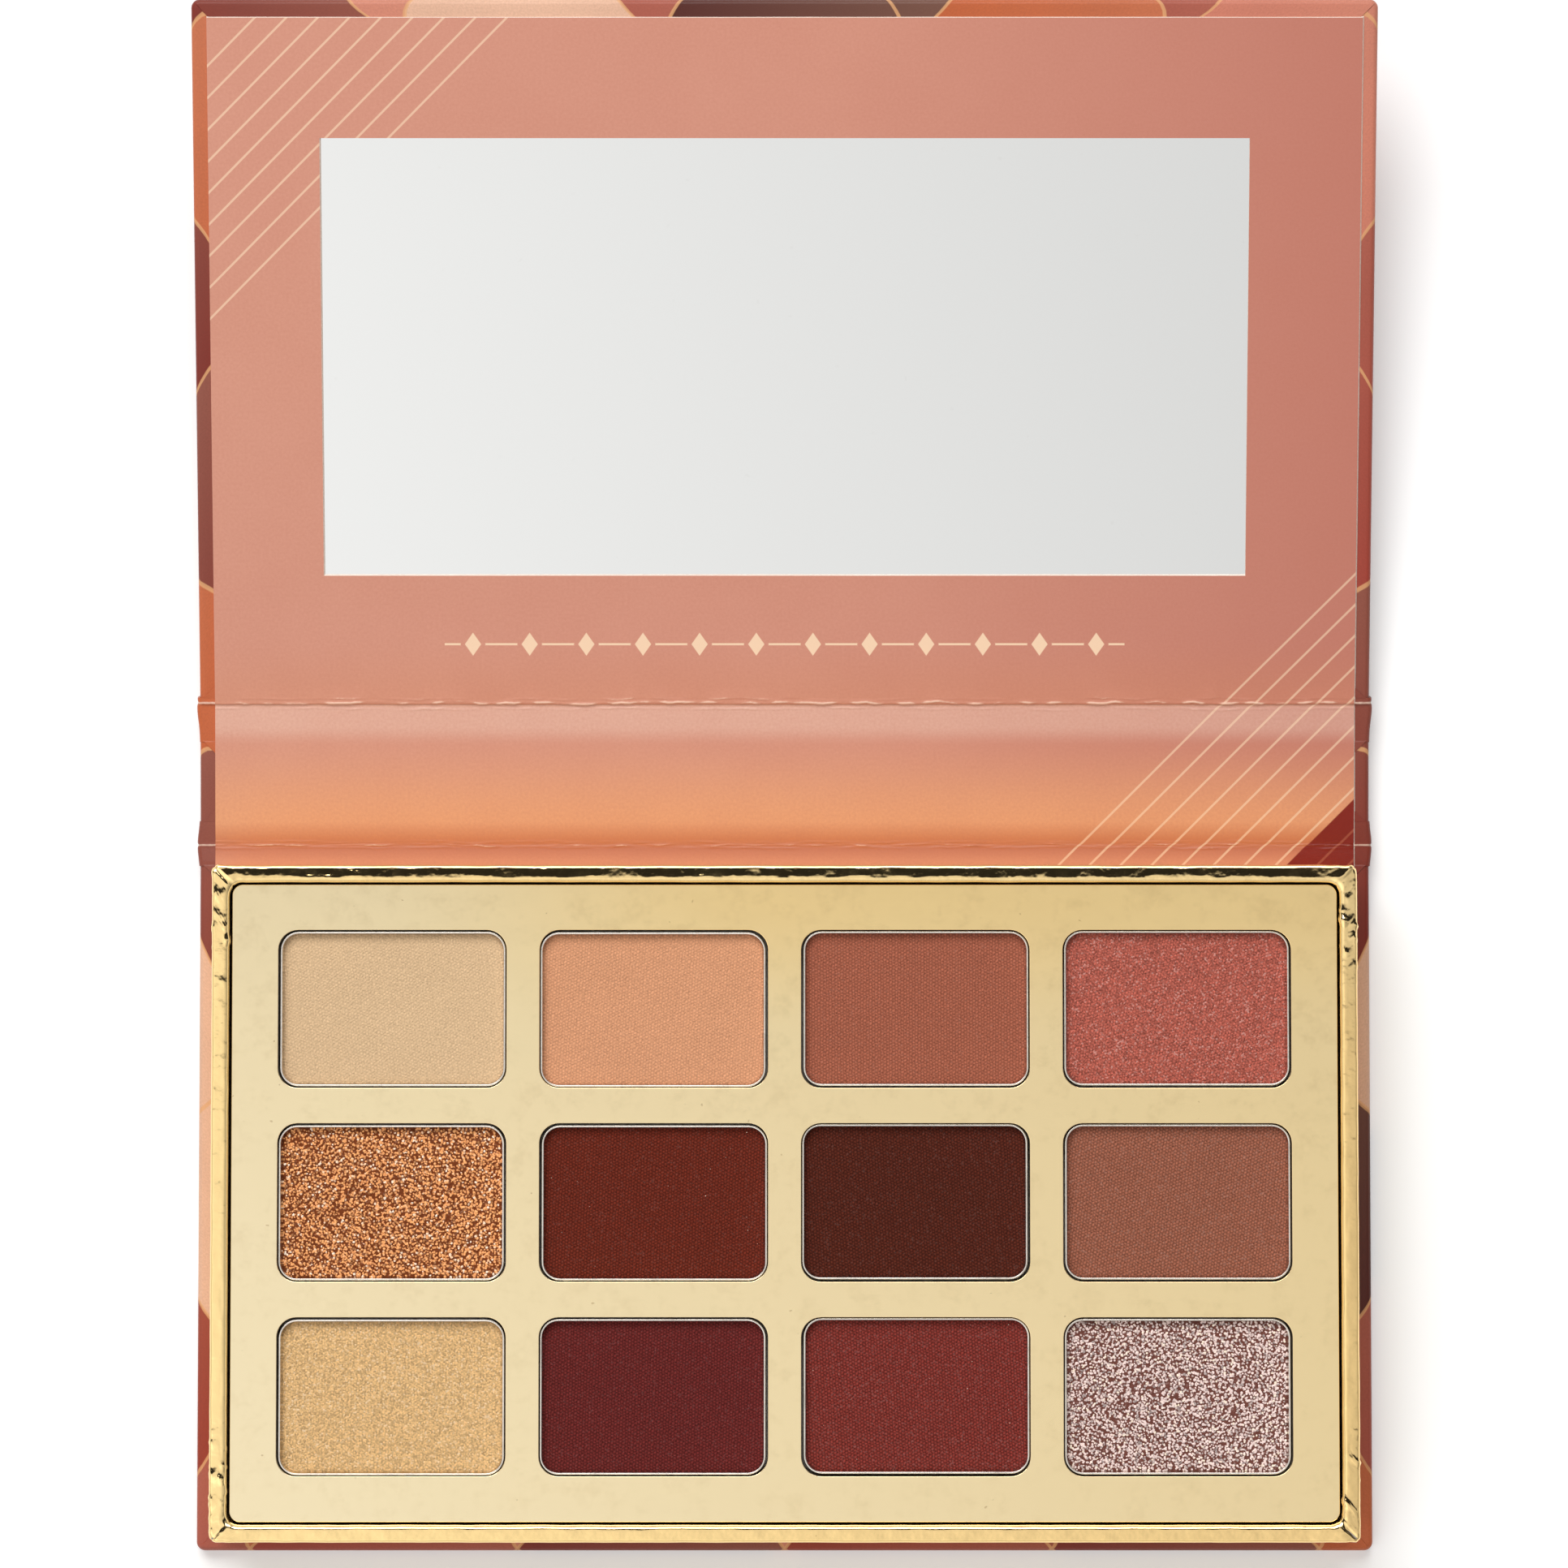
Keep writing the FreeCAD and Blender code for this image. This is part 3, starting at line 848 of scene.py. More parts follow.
def tinplate():
    """Thin bright tinplate with fine drawing marks."""
    material, tree, shader = new_material("tinplate")
    place = object_place(tree)
    skin = use(tree, foil_skin, {"Place": place, "Wave": 1.2})
    tint = mix(skin["Scuff"], srgb(234, 228, 220), srgb(204, 196, 188))
    rough = calc("MULTIPLY_ADD", skin["Scuff"], 0.15, 0.22)
    normal = bump(skin["Height"], 0.02)
    set_shader(shader, Base_Color=tint, Metallic=1.0, Roughness=rough, Normal=normal)
    return material


def mirror_glass():
    """Silvered mirror with the faintest dust."""
    material, tree, shader = new_material("mirror_glass")
    place = object_place(tree)
    dust = step_up(grain(place, 0.8, 2.0), 0.72, 0.78)
    haze = grain(place, 0.05, 3.0)
    tint = mix(dust, srgb(236, 237, 237), srgb(204, 202, 198), 0.08)
    rough = calc("MULTIPLY_ADD", haze, 0.03, 0.015)
    set_shader(shader, Base_Color=tint, Metallic=1.0, Roughness=rough)
    return material


def pressed_powder(slot, colour, finish, turn):
    """Pressed powder with the cloth's weave, and pearl or glitter where its finish has them."""
    material, tree, shader = new_material(slot)
    finish = FINISHES[finish]
    place = object_place(tree)
    press = use(tree, cloth_press, {"Place": place, "Turn": math.radians(turn)})
    grains = use(tree, pearl, {"Place": place, "Grain": PEARL_SIZE})
    body = [finish["tone"] * value * (value / max(colour)) ** finish["rich"] for value in colour]
    depth = 1 - sum(colour) / (3 * 255)
    dark = srgb(*[(0.72 - 0.32 * depth) * value for value in body])
    full = srgb(*[min((1.02 + 0.1 * depth) * value, 255) for value in body])
    light = srgb(*[value + 0.32 * (255 - value) for value in body])
    shade = mix(finish["pearl"], press["Shade"], grains["Tint"])
    tint = mix(shade, full, dark, 0.45 + 0.4 * finish["pearl"])
    contrast = finish["weave"] * max(0.95 * depth - 0.15, 0.1)
    threads = calc("MULTIPLY_ADD", press["Weave"], contrast, 1.0)
    tint = add(tree, "ShaderNodeHueSaturation", {"Color": tint, "Value": threads}).outputs[0]
    # Light specks mixed in: partly dust, partly painted glints
    tint = mix(press["Speck"], tint, light, 0.25 * depth)
    tint = mix(grains["Spark"], tint, light, finish["pearl"])
    height = mix(finish["pearl"], press["Height"], grains["Height"])
    set_shader(
        shader,
        Base_Color=tint,
        Metallic=finish["metallic"],
        Roughness=finish["roughness"],
        Specular_IOR_Level=0.12,
        Normal=bump(height, 0.12),
    )
    return material


def glitter_grains(name, colour):
    """Coarse glitter: bright flakes whose colour differs from grain to grain."""
    material, tree, shader = new_material(name)
    share = add(tree, "ShaderNodeAttribute", attribute_name="grain_tint").outputs["Fac"]
    bright = [min(1.2 * value, 255) for value in colour]
    light = [min(1.3 * value + 8, 255) for value in colour]
    deep = [0.82 * value for value in colour]
    tint = ramp(
        share,
        [(0.0, srgb(*deep)), (0.3, srgb(*bright)), (0.85, srgb(*light)), (1.0, srgb(255, 238, 216))],
    )
    scratch = grain(object_place(tree), 9.0, 2.0)
    roughness = step_up(scratch, 0.3, 0.7, 0.16, 0.3)
    set_shader(shader, Base_Color=tint, Roughness=roughness, Specular_IOR_Level=0.3)
    return material


def plain_material(name, colour, spots, tooth, roughness, metallic=0.0):
    """A plain hidden material: board, foam, glue or magnet, with its own grain."""
    material, tree, shader = new_material(name)
    skin = use(tree, paper_grain, {"Place": object_place(tree), "Tooth": tooth})
    tint = mix(skin["Shade"], colour, spots)
    normal = bump(skin["Height"], 0.05)
    set_shader(shader, Base_Color=tint, Roughness=roughness, Metallic=metallic, Normal=normal)
    return material


liner_paper = liner_print()
wrap_paper = outer_print()
cut_edge = paper_edge()
card_gold = gold_foil("card_gold", srgb(250, 233, 193), srgb(250, 225, 172), 0.12, 0.02, 0.16)
rim_gold = gold_foil("rim_gold", srgb(254, 222, 158), srgb(252, 216, 150), 0.6, 0.07, 0.06)
pan_tin = tinplate()
mirror_silver = mirror_glass()
HIDDEN_FINISHES = {
    "greyboard": plain_material("greyboard", srgb(168, 160, 148), srgb(132, 124, 112), 2.2, 0.9),
    "foam_riser": plain_material("foam_riser", srgb(232, 230, 224), srgb(210, 206, 198), 1.4, 0.85),
    "adhesive": plain_material("adhesive", srgb(228, 222, 206), srgb(206, 198, 180), 1.0, 0.5),
    "magnet": plain_material("magnet", srgb(150, 150, 152), srgb(118, 118, 122), 1.6, 0.35, 1.0),
}


# Handing pieces over to the frame

def hand_over(piece, body, slot, *nodes):
    """A finished piece rides on a body and stands for CAD nodes, which are hidden; the slot it is given is
    not used.
    """
    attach(piece, body)
    if nodes:
        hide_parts(*nodes)


def hand_over_bent(piece, bodies, start, end, slot, *nodes):
    """A finished piece across a crease, its points already laid open, has its place baked into its mesh and
    stands for CAD nodes, which are hidden; it does not bend with its two bodies.
    """
    spine_share, lid_share = TURN_SHARES[bodies[0]]
    ends = np.array([(0.0, start, base_crease[2]), (0.0, end, base_crease[2])])
    first, last = laid_open(ends, spine_share, lid_share) * MM
    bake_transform(piece)
    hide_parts(*nodes)


# Case: wrapped boards and the bands of wrap across the creases

def case_section(height, turn_in):
    """Section of the wrap from the underside round its edge to the turned-in end and back inside."""
    section = arc((LOWER_ROLL, LOWER_ROLL), LOWER_ROLL, 270, 180, 4)
    section += arc((UPPER_ROLL, height - UPPER_ROLL), UPPER_ROLL, 180, 90, 6)
    section += [(inset, height) for inset in (*TURN_IN_ROWS, turn_in)]
    section += [(turn_in, height - paper), (paper, height - paper), (paper, paper)]
    return section


def wrapped_plate(name, body, node, radii, turn_in):
    """A board's wrap: underside, rolled edges and turned-in flaps with mitred corners."""
    low, high = flat_box(node, body)
    x_span, y_span = (low[0], high[0]), (low[1], high[1])
    over = np.isin(ring_sides(x_span, y_span, CASE_SPACING), (FRONT, BACK))
    rings = []
    sheet = []
    section = case_section(high[2], turn_in)
    run = 0.0
    for number, (inset, z) in enumerate(section):
        if number:
            run += math.dist(section[number - 1], (inset, z))
        points = at_height(ring(x_span, y_span, radii, inset, CASE_SPACING), z)
        if inset > UPPER_ROLL / 2 and z > high[2] - FOLD_DEPTH:
            points[:, 2] += FOLD_STEP * over
        sway = [noise.noise((x / CASE_SWAY_LENGTH, y / CASE_SWAY_LENGTH, z)) for x, y, z in points]
        points[:, 2] += CASE_SWAY_HEIGHT * np.array(sway) * (z > high[2] / 2)
        rings.append(points)
        sheet.append(ring(x_span, y_span, radii, LOWER_ROLL - run, CASE_SPACING))
    points, faces = loft(rings)
    points = laid_open(points, *TURN_SHARES[body])
    piece = make_piece(name, points, faces, [wrap_paper], np.concatenate(sheet))
    hand_over(piece, body, "outer_print", node)


def band_section(height, width):
    """Section of a crease band across the case: a flat strip of wrap with both ends folded over."""
    roll = min(UPPER_ROLL, 0.45 * height)
    right = [(width - LOWER_ROLL, 0.0)]
    right += arc((width - LOWER_ROLL, LOWER_ROLL), LOWER_ROLL, 270, 360, 3)[1:]
    right += arc((width - roll, height - roll), roll, 0, 90, 5)
    right += [(width - TURN_IN, height), (width - TURN_IN, height - paper)]
    right += [(width - paper, height - paper), (width - paper, paper)]
    left = [(-x, z) for x, z in reversed(right)]
    return right + left


def crease_band(name, node, crease_y, span, bodies, corners, fold_y, bend):
    """The stretch of wrap across a crease, under the liner's path, bulging a little where it folds."""
    line = rounded_path(corners)
    stations = np.linspace(span[0] - BAND_OVERLAP, span[1] + BAND_OVERLAP, BAND_STATIONS)
    tops = np.interp(stations, line[:, 0], line[:, 1]) - paper + BAND_PROUD
    rings = []
    sheet = []
    worn = []
    for y, height in zip(stations, tops):
        pinch = bell(y - fold_y, PINCH_WIDTH)
        bulge = BAND_BULGE * bell(y - crease_y, BAND_BULGE_WIDTH) - PINCH_DRAW * pinch
        section = np.array(band_section(height, case_half + BAND_PROUD + bulge))
        section[:, 1] += PINCH_RISE * pinch * (section[:, 1] > 0.5 * height)
        along = np.full(len(section), y)
        rings.append(np.column_stack([section[:, 0], along, section[:, 1]]))
        beyond = np.where(section[:, 1] > paper, np.sign(section[:, 0]) * section[:, 1], 0.0)
        sheet.append(np.column_stack([section[:, 0] + beyond, along]))
        worn.append(np.full(len(section), PINCH_WEAR * pinch))
    points, faces = loft(rings)
    faces = [tuple(reversed(face)) for face in faces]
    points = bent_open(points, points[:, 1], bodies, crease_y)
    piece = make_piece(name, points, faces, [wrap_paper], np.concatenate(sheet), worn=np.concatenate(worn))
    hand_over_bent(piece, bodies, *bend, "outer_print", node)


# Liner: one printed sheet over base, spine and lid, in two halves that meet on the spine

def unit(vector):
    return vector / np.linalg.norm(vector)


def rounded_path(corners):
    """A dense line through corners of y, z and radius, each rounded by its radius."""
    line = [np.array(corners[0][:2])]
    for before, here, after in zip(corners, corners[1:], corners[2:]):
        point = np.array(here[:2])
        back = unit(np.array(before[:2]) - point)
        ahead = unit(np.array(after[:2]) - point)
        half = math.acos(np.clip(back @ ahead, -1, 1)) / 2
        centre = point + unit(back + ahead) * here[2] / math.sin(half)
        start = point + back * here[2] / math.tan(half) - centre
        end = point + ahead * here[2] / math.tan(half) - centre
        sweep = math.pi - 2 * half
        for share in np.linspace(0, 1, ROUND_STEPS):
            turned_arm = math.sin((1 - share) * sweep) * start + math.sin(share * sweep) * end
            line.append(centre + turned_arm / math.sin(sweep))
    line.append(np.array(corners[-1][:2]))
    return np.array(line)


def path_rows(corners, zone, marks):
    """Rows along a path: place, normal and distance, close together in the crease's zone."""
    line = rounded_path(corners)
    lengths = np.concatenate([[0.0], np.cumsum(np.linalg.norm(np.diff(line, axis=0), axis=1))])
    zone_start, zone_end = (np.interp(y, line[:, 0], lengths) for y in zone)
    stops = [0.0, zone_start, zone_end, lengths[-1]] + [np.interp(y, line[:, 0], lengths) for y in marks]
    stops = sorted(set(np.round(stops, 6)))
    distances = [0.0]
    for start, end in zip(stops, stops[1:]):
        row = CREASE_ROW if zone_start - 0.01 <= start < zone_end - 0.01 else LINER_ROW
        count = max(int(round((end - start) / row)), 1)
        distances += list(np.linspace(start, end, count + 1)[1:])
    distances = np.array(distances)
    y = np.interp(distances, lengths, line[:, 0])
    z = np.interp(distances, lengths, line[:, 1])
    along_y = np.gradient(y, distances)
    along_z = np.gradient(z, distances)
    size = np.hypot(along_y, along_z)
    return y, z, -along_z / size, along_y / size, distances


def crinkle(x, distances, fold, ridges, seed):
    """Height and wear of the wrinkled ridges along a fold, for each row and column."""
    rise = np.zeros((len(distances), len(x)))
    worn = np.zeros_like(rise)
    for number, (offset, height, width, wear) in enumerate(ridges):
        shift = seed + 7.3 * number
        line = fold + offset + SLOW_SWAY * wander(x, SLOW_SWAY_LENGTH, shift)
        line = line + QUICK_SWAY * wander(x, QUICK_SWAY_LENGTH, shift + 1.7)
        crest = CREST_MEAN + CREST_CHANGE * wander(x, CREST_LENGTH, shift + 3.1)
        crest = np.clip(crest, CREST_LEAST, CREST_MOST)
        ridge = np.exp(-(((distances[:, None] - line) / width) ** 2))
        rise += height * crest * ridge
        worn = np.maximum(worn, ridge * np.clip(crest * wear, 0, 1))
    return rise, worn


def liner_columns(marks):
    """Columns across the liner, with one at each mark."""
    stops = sorted({-liner_half, liner_half, *marks})
    columns = [stops[0]]
    for start, end in zip(stops, stops[1:]):
        count = max(int(round((end - start) / LINER_STEP)), 1)
        columns += list(np.linspace(start, end, count + 1)[1:])
    return np.array(columns)


def sheet_faces(present):
    """Faces of a thick sheet over a grid of cells, some cut out, and which faces are cut edges."""
    cell_rows, cell_columns = present.shape
    columns = cell_columns + 1
    under = (cell_rows + 1) * columns
    kept = np.pad(present, 1)
    faces = []
    cut = []
    for row in range(cell_rows):
        for column in range(cell_columns):
            if not present[row, column]:
                continue
            corner = row * columns + column
            loop = (corner, corner + 1, corner + columns + 1, corner + columns)
            faces.append(loop)
            faces.append(tuple(point + under for point in reversed(loop)))
            cut += [False, False]
            beside = (
                kept[row, column + 1],
                kept[row + 1, column + 2],
                kept[row + 2, column + 1],
                kept[row + 1, column],
            )
            for side, neighbour in enumerate(beside):
                if not neighbour:
                    first, second = loop[side], loop[(side + 1) % 4]
                    faces.append((first, first + under, second + under, second))
                    cut.append(True)
    return faces, cut


def slant_cuts(layer_x, layer_y, x, y, window):
    """Draw out the underside's right edge and, on the lid, its top and the window's left and bottom."""
    layer_x[:, -1] += CUT_SLANT
    if not window:
        return
    layer_y[-1] += CUT_SLANT
    left, right = (np.argmin(np.abs(x - edge)) for edge in window[0])
    bottom, top = (np.argmin(np.abs(y - edge)) for edge in window[1])
    layer_x[bottom : top + 1, left] += CUT_SLANT
    layer_y[bottom, left : right + 1] += CUT_SLANT


def liner_half_sheet(name, nodes, crease_y, ridges, window, bodies, corners, fold_y, bend):
    """Half of the liner: a thick printed sheet that follows a path over two bodies, with a wrinkled fold."""
    zone = (crease_y - CREASE_ZONE, crease_y + CREASE_ZONE)
    marks_x = window[0] if window else ()
    marks_y = window[1] if window else ()
    x = liner_columns(marks_x)
    y, z, normal_y, normal_z, distances = path_rows(corners, zone, marks_y)
    fold = np.interp(fold_y, y, distances)
    rise, worn = crinkle(x, distances, fold, *ridges)
    layers = []
    sheet = []
    for depth in (0.0, paper):
        offset = rise - depth
        layer_y = y[:, None] + offset * normal_y[:, None]
        layer_z = z[:, None] + offset * normal_z[:, None]
        layer_x = np.tile(x, (len(y), 1))
        if depth:
            slant_cuts(layer_x, layer_y, x, y, window)
        layers.append(np.stack([layer_x, layer_y, layer_z], axis=2).reshape(-1, 3))
        sheet.append(np.stack([layer_x, np.broadcast_to(y[:, None], layer_x.shape)], axis=2).reshape(-1, 2))
    points = np.concatenate(layers)
    middle_x = (x[:-1] + x[1:]) / 2
    middle_y = (y[:-1] + y[1:]) / 2
    present = np.ones((len(y) - 1, len(x) - 1), dtype=bool)
    if window:
        in_x = (middle_x > window[0][0]) & (middle_x < window[0][1])
        in_y = (middle_y > window[1][0]) & (middle_y < window[1][1])
        present = ~(in_y[:, None] & in_x[None, :])
    faces, cut = sheet_faces(present)
    sheet = np.concatenate(sheet)
    points = bent_open(points, sheet[:, 1], bodies, crease_y)
    worn = np.concatenate([worn.ravel()] * 2)
    piece = make_piece(name, points, faces, [liner_paper, cut_edge], sheet, sharp_angle=55.0, worn=worn)
    piece.data.polygons.foreach_set("material_index", np.array(cut, dtype=np.int32))
    hand_over_bent(piece, bodies, *bend, "liner_print", *nodes)


def build_case():
    wrapped_plate("base_case", "base", "base_wrap", (CASE_CORNER, 0.0), TURN_IN)
    wrapped_plate("spine_case", "spine", "spine_wrap", (0.0, 0.0), SPINE_TURN_IN)
    wrapped_plate("lid_case", "lid", "lid_wrap", (0.0, CASE_CORNER), TURN_IN)
    base_fold = {
        "bodies": ("base", "spine"),
        "corners": [
            (base_liner_low[1], base_top, 0.0),
            (base_high[1], base_top, BASE_ROUNDS[0]),
            (base_crease[1], base_top - BASE_VALLEY, BASE_ROUNDS[1]),
            (spine_low[1], spine_top, BASE_ROUNDS[2]),
            (spine_middle, spine_top, 0.0),
        ],
        "fold_y": base_crease[1],
        "bend": (base_high[1] + BASE_BEND_MARGIN, spine_low[1] - BASE_BEND_MARGIN),
    }
    base_span = (base_high[1], spine_low[1])
    base_nodes = ("base_liner", "spine_liner", "base_crease_liner")
    crease_band("base_crease_band", "base_crease_wrap", base_crease[1], base_span, **base_fold)
    base_ridges = (BASE_RIDGES, BASE_RIDGE_SEED)
    liner_half_sheet("base_liner_sheet", base_nodes, base_crease[1], base_ridges, None, **base_fold)
    lid_edge = lid_low[1] - paper
    lid_fold = {
        "bodies": ("spine", "lid"),
        "corners": [
            (spine_middle, spine_top, 0.0),
            (spine_high[1] + HAZE_FROM_SPINE, spine_top, SPINE_ROUND),
            (lid_edge - LID_STEP, spine_top - LID_VALLEY, LID_STEP),
            (lid_edge, lid_top, CREASE_ROUND),
            (lid_liner_high[1], lid_top, 0.0),
        ],
        "fold_y": lid_edge + CREASE_ROUND,
        "bend": (spine_high[1] + LID_BEND_MARGIN, lid_low[1] - LID_BEND_MARGIN),
    }
    lid_span = (spine_high[1], lid_low[1])
    lid_nodes = ("lid_liner", "lid_crease_liner")
    window = (window_x, window_y)
    crease_band("lid_crease_band", "lid_crease_wrap", lid_crease[1], lid_span, **lid_fold)
    lid_turn_y = lid_crease[1] + LID_TURN_SHIFT
    lid_ridges = (LID_RIDGES, LID_RIDGE_SEED)
    liner_half_sheet("lid_liner_sheet", lid_nodes, lid_turn_y, lid_ridges, window, **lid_fold)


# Tray: foil over its walls, the gold window card, the pans and the powders

def build_tray_foil():
    """Foil over the four walls: a rolled rim that slants outwards, with folded corners and crumples."""
    low, high = flat_box("tray_foil", "base")
    card_low, _ = flat_box("window_card", "base")
    x_span, y_span = (low[0], high[0]), (low[1], high[1])
    floor, top = low[2], high[2]
    wall = card_low[0] - RIM_GAP - low[0]
    ledge = RIM_LEDGE * wall
    inner_roll = wall - RIM_INNER_ROLL
    outer = [(0.0, floor)] + [(0.0, top - depth) for depth in WALL_ROWS]
    outer += arc((RIM_ROLL, top - RIM_SLANT - RIM_ROLL), RIM_ROLL, 180, 96, 7)
    outer += [(RIM_ROLL + 0.06, top - 0.93 * RIM_SLANT), (0.8 * ledge, top - 0.25 * RIM_SLANT)]
    outer += [(ledge - 0.05, top - 0.01), (ledge + 0.05, top), (inner_roll - 0.04, top)]
    outer += arc((inner_roll, top - RIM_INNER_ROLL), RIM_INNER_ROLL, 88, 0, 6)
    outer += [(wall, top - WALL_ROWS[1]), (wall, floor)]
    inner = [(wall - FOIL, floor), (wall - FOIL, top - FOIL_TURN), (FOIL, top - FOIL_TURN), (FOIL, floor)]
    over = np.isin(ring_sides(x_span, y_span, RIM_SPACING), (FRONT, BACK))
    rings = []
    for inset, z in outer + inner:
        rounding = RIM_CORNER + inset * (1 + (CARD_RADIUS + RIM_GAP - RIM_CORNER) / wall)
        points = at_height(ring(x_span, y_span, (rounding,) * 2, inset, RIM_SPACING), z)
        if z > top - RIM_FLAP_DEPTH:
            flap = np.clip((np.abs(points[:, 0]) - (x_span[1] - RIM_FLAP_LENGTH)) / RIM_FLAP_RUN, 0, 1)
            points[:, 2] += RIM_FLAP * over * flap
        rings.append(points)
    points, faces = loft(rings, closed=True)
    piece = make_piece("tray_foil_skin", points, faces, [rim_gold], sharp_angle=60.0)
    middle_y = (y_span[0] + y_span[1]) / 2
    reach_y = (y_span[1] - y_span[0]) / 2

    def crumple(x, y, z):
        fade = min(max((z - top + RIM_FADE_FROM) / RIM_FADE_RUN, 0.0), 1.0)
        if not fade:
            return 0.0
        to_side = x_span[1] - abs(x)
        to_end = reach_y - abs(y - middle_y)
        on_side = to_side < to_end
        along, across, to_corner = (y, x, to_end) if on_side else (x, y, to_side)
        ragged = RIM_RAGGED * noise.noise((along / 2.2, across / 0.5, 7.7))
        crushed = RIM_CRUSH * bell(to_corner, RIM_CRUSH_REACH) * noise.noise((x / 0.9, y / 0.9, z / 1.3))
        groove = -RIM_GROOVE * max(0.0, 1 - abs(to_side - to_end) / RIM_GROOVE_WIDTH)
        pleat = 0.0
        if on_side:
            fold = noise.noise((along / 0.9 + 0.5 * across, across / 1.4, 3.1)) - 0.1
            near_end = bell(to_corner - RIM_PLEAT_FROM_END, RIM_PLEAT_REACH)
            pleat = RIM_PLEAT * near_end * max(0.0, fold)
        return fade * min(ragged + crushed + groove + pleat, RIM_RISE)

    dent(piece, crumple)
    hand_over(piece, "base", "gold_foil", "tray_foil")


def tree_input(tree, label):
    """The identifier of a node tree's input, by its name."""
    items = tree.interface.items_tree
    return next(item.identifier for item in items if item.name == label and item.in_out == "INPUT")


def growing_tree(name, inputs):
    """An empty geometry tree with named inputs, and where its values come in and go out."""
    return new_tree(name, "GeometryNodeTree", inputs, ("Geometry",))


def finish_tree(tree, geometry, finish, result):
    """End a geometry tree: instances made real, in one finish."""
    plain = add(tree, "GeometryNodeRealizeInstances", {0: geometry}).outputs[0]
    dressed = add(tree, "GeometryNodeSetMaterial", {"Geometry": plain, "Material": finish})
    tree.links.new(dressed.outputs[0], result["Geometry"])
    return tree


def join(tree, *parts):
    """Several geometries as one."""
    joined = add(tree, "GeometryNodeJoinGeometry")
    for part in parts:
        tree.links.new(part, joined.inputs[0])
    return joined.outputs[0]


def grow(name, tree, values, carrier_mesh=None):
    """The plain mesh that a geometry tree grows, as a new piece."""
    piece = link_object(name, carrier_mesh or bpy.data.meshes.new(name))
    modifier = piece.modifiers.new("grow", "NODES")
    modifier.node_group = tree
    for label, value in values.items():
        modifier[tree_input(tree, label)] = value
    depsgraph = bpy.context.evaluated_depsgraph_get()
    evaluated = piece.evaluated_get(depsgraph)
    mesh = bpy.data.meshes.new_from_object(evaluated, preserve_all_data_layers=True, depsgraph=depsgraph)
    piece.modifiers.clear()
    piece.data = mesh
    return piece


def rounded_outline(tree, width, depth, radius):
    """A closed curve round a rectangle with rounded corners."""
    outline = add(tree, "GeometryNodeCurvePrimitiveQuadrilateral", {"Width": width, "Height": depth})
    inputs = {"Curve": outline.outputs[0], "Radius": radius, "Count": CORNER_STEPS}
    return add(tree, "GeometryNodeFilletCurve", inputs, mode="POLY").outputs[0]


def window_card_tree():
    """A card with a grid of rounded windows."""
    sizes = ("Length", "Depth", "Corner", "Thickness", "Window Length", "Window Depth", "Window Corner")
    others = ("Column Pitch", "Row Pitch", "Columns", "Rows", "Underside", "Finish")
    tree, given, result = growing_tree("window_card_tree", sizes + others)
    border = rounded_outline(tree, given["Length"], given["Depth"], given["Corner"])
    window = rounded_outline(tree, given["Window Length"], given["Window Depth"], given["Window Corner"])
    spans = []
    for count, pitch in (("Columns", "Column Pitch"), ("Rows", "Row Pitch")):
        spans.append(calc("MULTIPLY", calc("SUBTRACT", given[count], 1.0), given[pitch]))
    grid = add(
        tree,
        "GeometryNodeMeshGrid",
        {"Size X": spans[0], "Size Y": spans[1], "Vertices X": given["Columns"], "Vertices Y": given["Rows"]},
    ).outputs["Mesh"]
    windows = add(tree, "GeometryNodeInstanceOnPoints", {"Points": grid, "Instance": window}).outputs[0]
    windows = add(tree, "GeometryNodeRealizeInstances", {0: windows}).outputs[0]
    face = add(tree, "GeometryNodeFillCurve", {"Curve": join(tree, border, windows)}).outputs[0]
    lift = {"Mesh": face, "Offset Scale": given["Thickness"], "Individual": False}
    raised = add(tree, "GeometryNodeExtrudeMesh", lift).outputs[0]
    back = add(tree, "GeometryNodeFlipFaces", {0: face}).outputs[0]
    card = join(tree, raised, back)
    merged = add(tree, "GeometryNodeMergeByDistance", {"Geometry": card, "Distance": 1e-6}).outputs[0]
    move = {"Geometry": merged, "Translation": given["Underside"]}
    placed = add(tree, "GeometryNodeTransform", move).outputs[0]
    return finish_tree(tree, placed, given["Finish"], result)


def build_window_card():
    low, high = flat_box("window_card", "base")
    pan_low, pan_high = flat_box("pan_01", "base")
    middle = (low + high) / 2
    pan_size = pan_high - pan_low
    pan_middle = (pan_low + pan_high) / 2
    next_pan = sum(flat_box("pan_02", "base")) / 2
    lower_pan = sum(flat_box(f"pan_{COLUMNS + 1:02d}", "base")) / 2
    values = {
        "Length": (high[0] - low[0]) * MM,
        "Depth": (high[1] - low[1]) * MM,
        "Corner": CARD_RADIUS * MM,
        "Thickness": (high[2] - low[2]) * MM,
        "Window Length": (pan_size[0] + 2 * WINDOW_CLEARANCE) * MM,
        "Window Depth": (pan_size[1] + 2 * WINDOW_CLEARANCE) * MM,
        "Window Corner": WINDOW_RADIUS * MM,
        "Column Pitch": (next_pan[0] - pan_middle[0]) * MM,
        "Row Pitch": (pan_middle[1] - lower_pan[1]) * MM,
        "Columns": COLUMNS,
        "Rows": ROWS,
        "Underside": (middle[0] * MM, middle[1] * MM, low[2] * MM),
        "Finish": card_gold,
    }
    piece = grow("gold_window_card", window_card_tree(), values)
    finish_shading(piece.data, 30.0)
    bevel = piece.modifiers.new("pressed_edge", "BEVEL")
    bevel.width = CARD_EDGE * MM
    bevel.segments = 3
    bevel.limit_method = "ANGLE"
    bevel.use_clamp_overlap = False
    bevel.harden_normals = True
    hand_over(piece, "base", "gold_foil", "window_card")


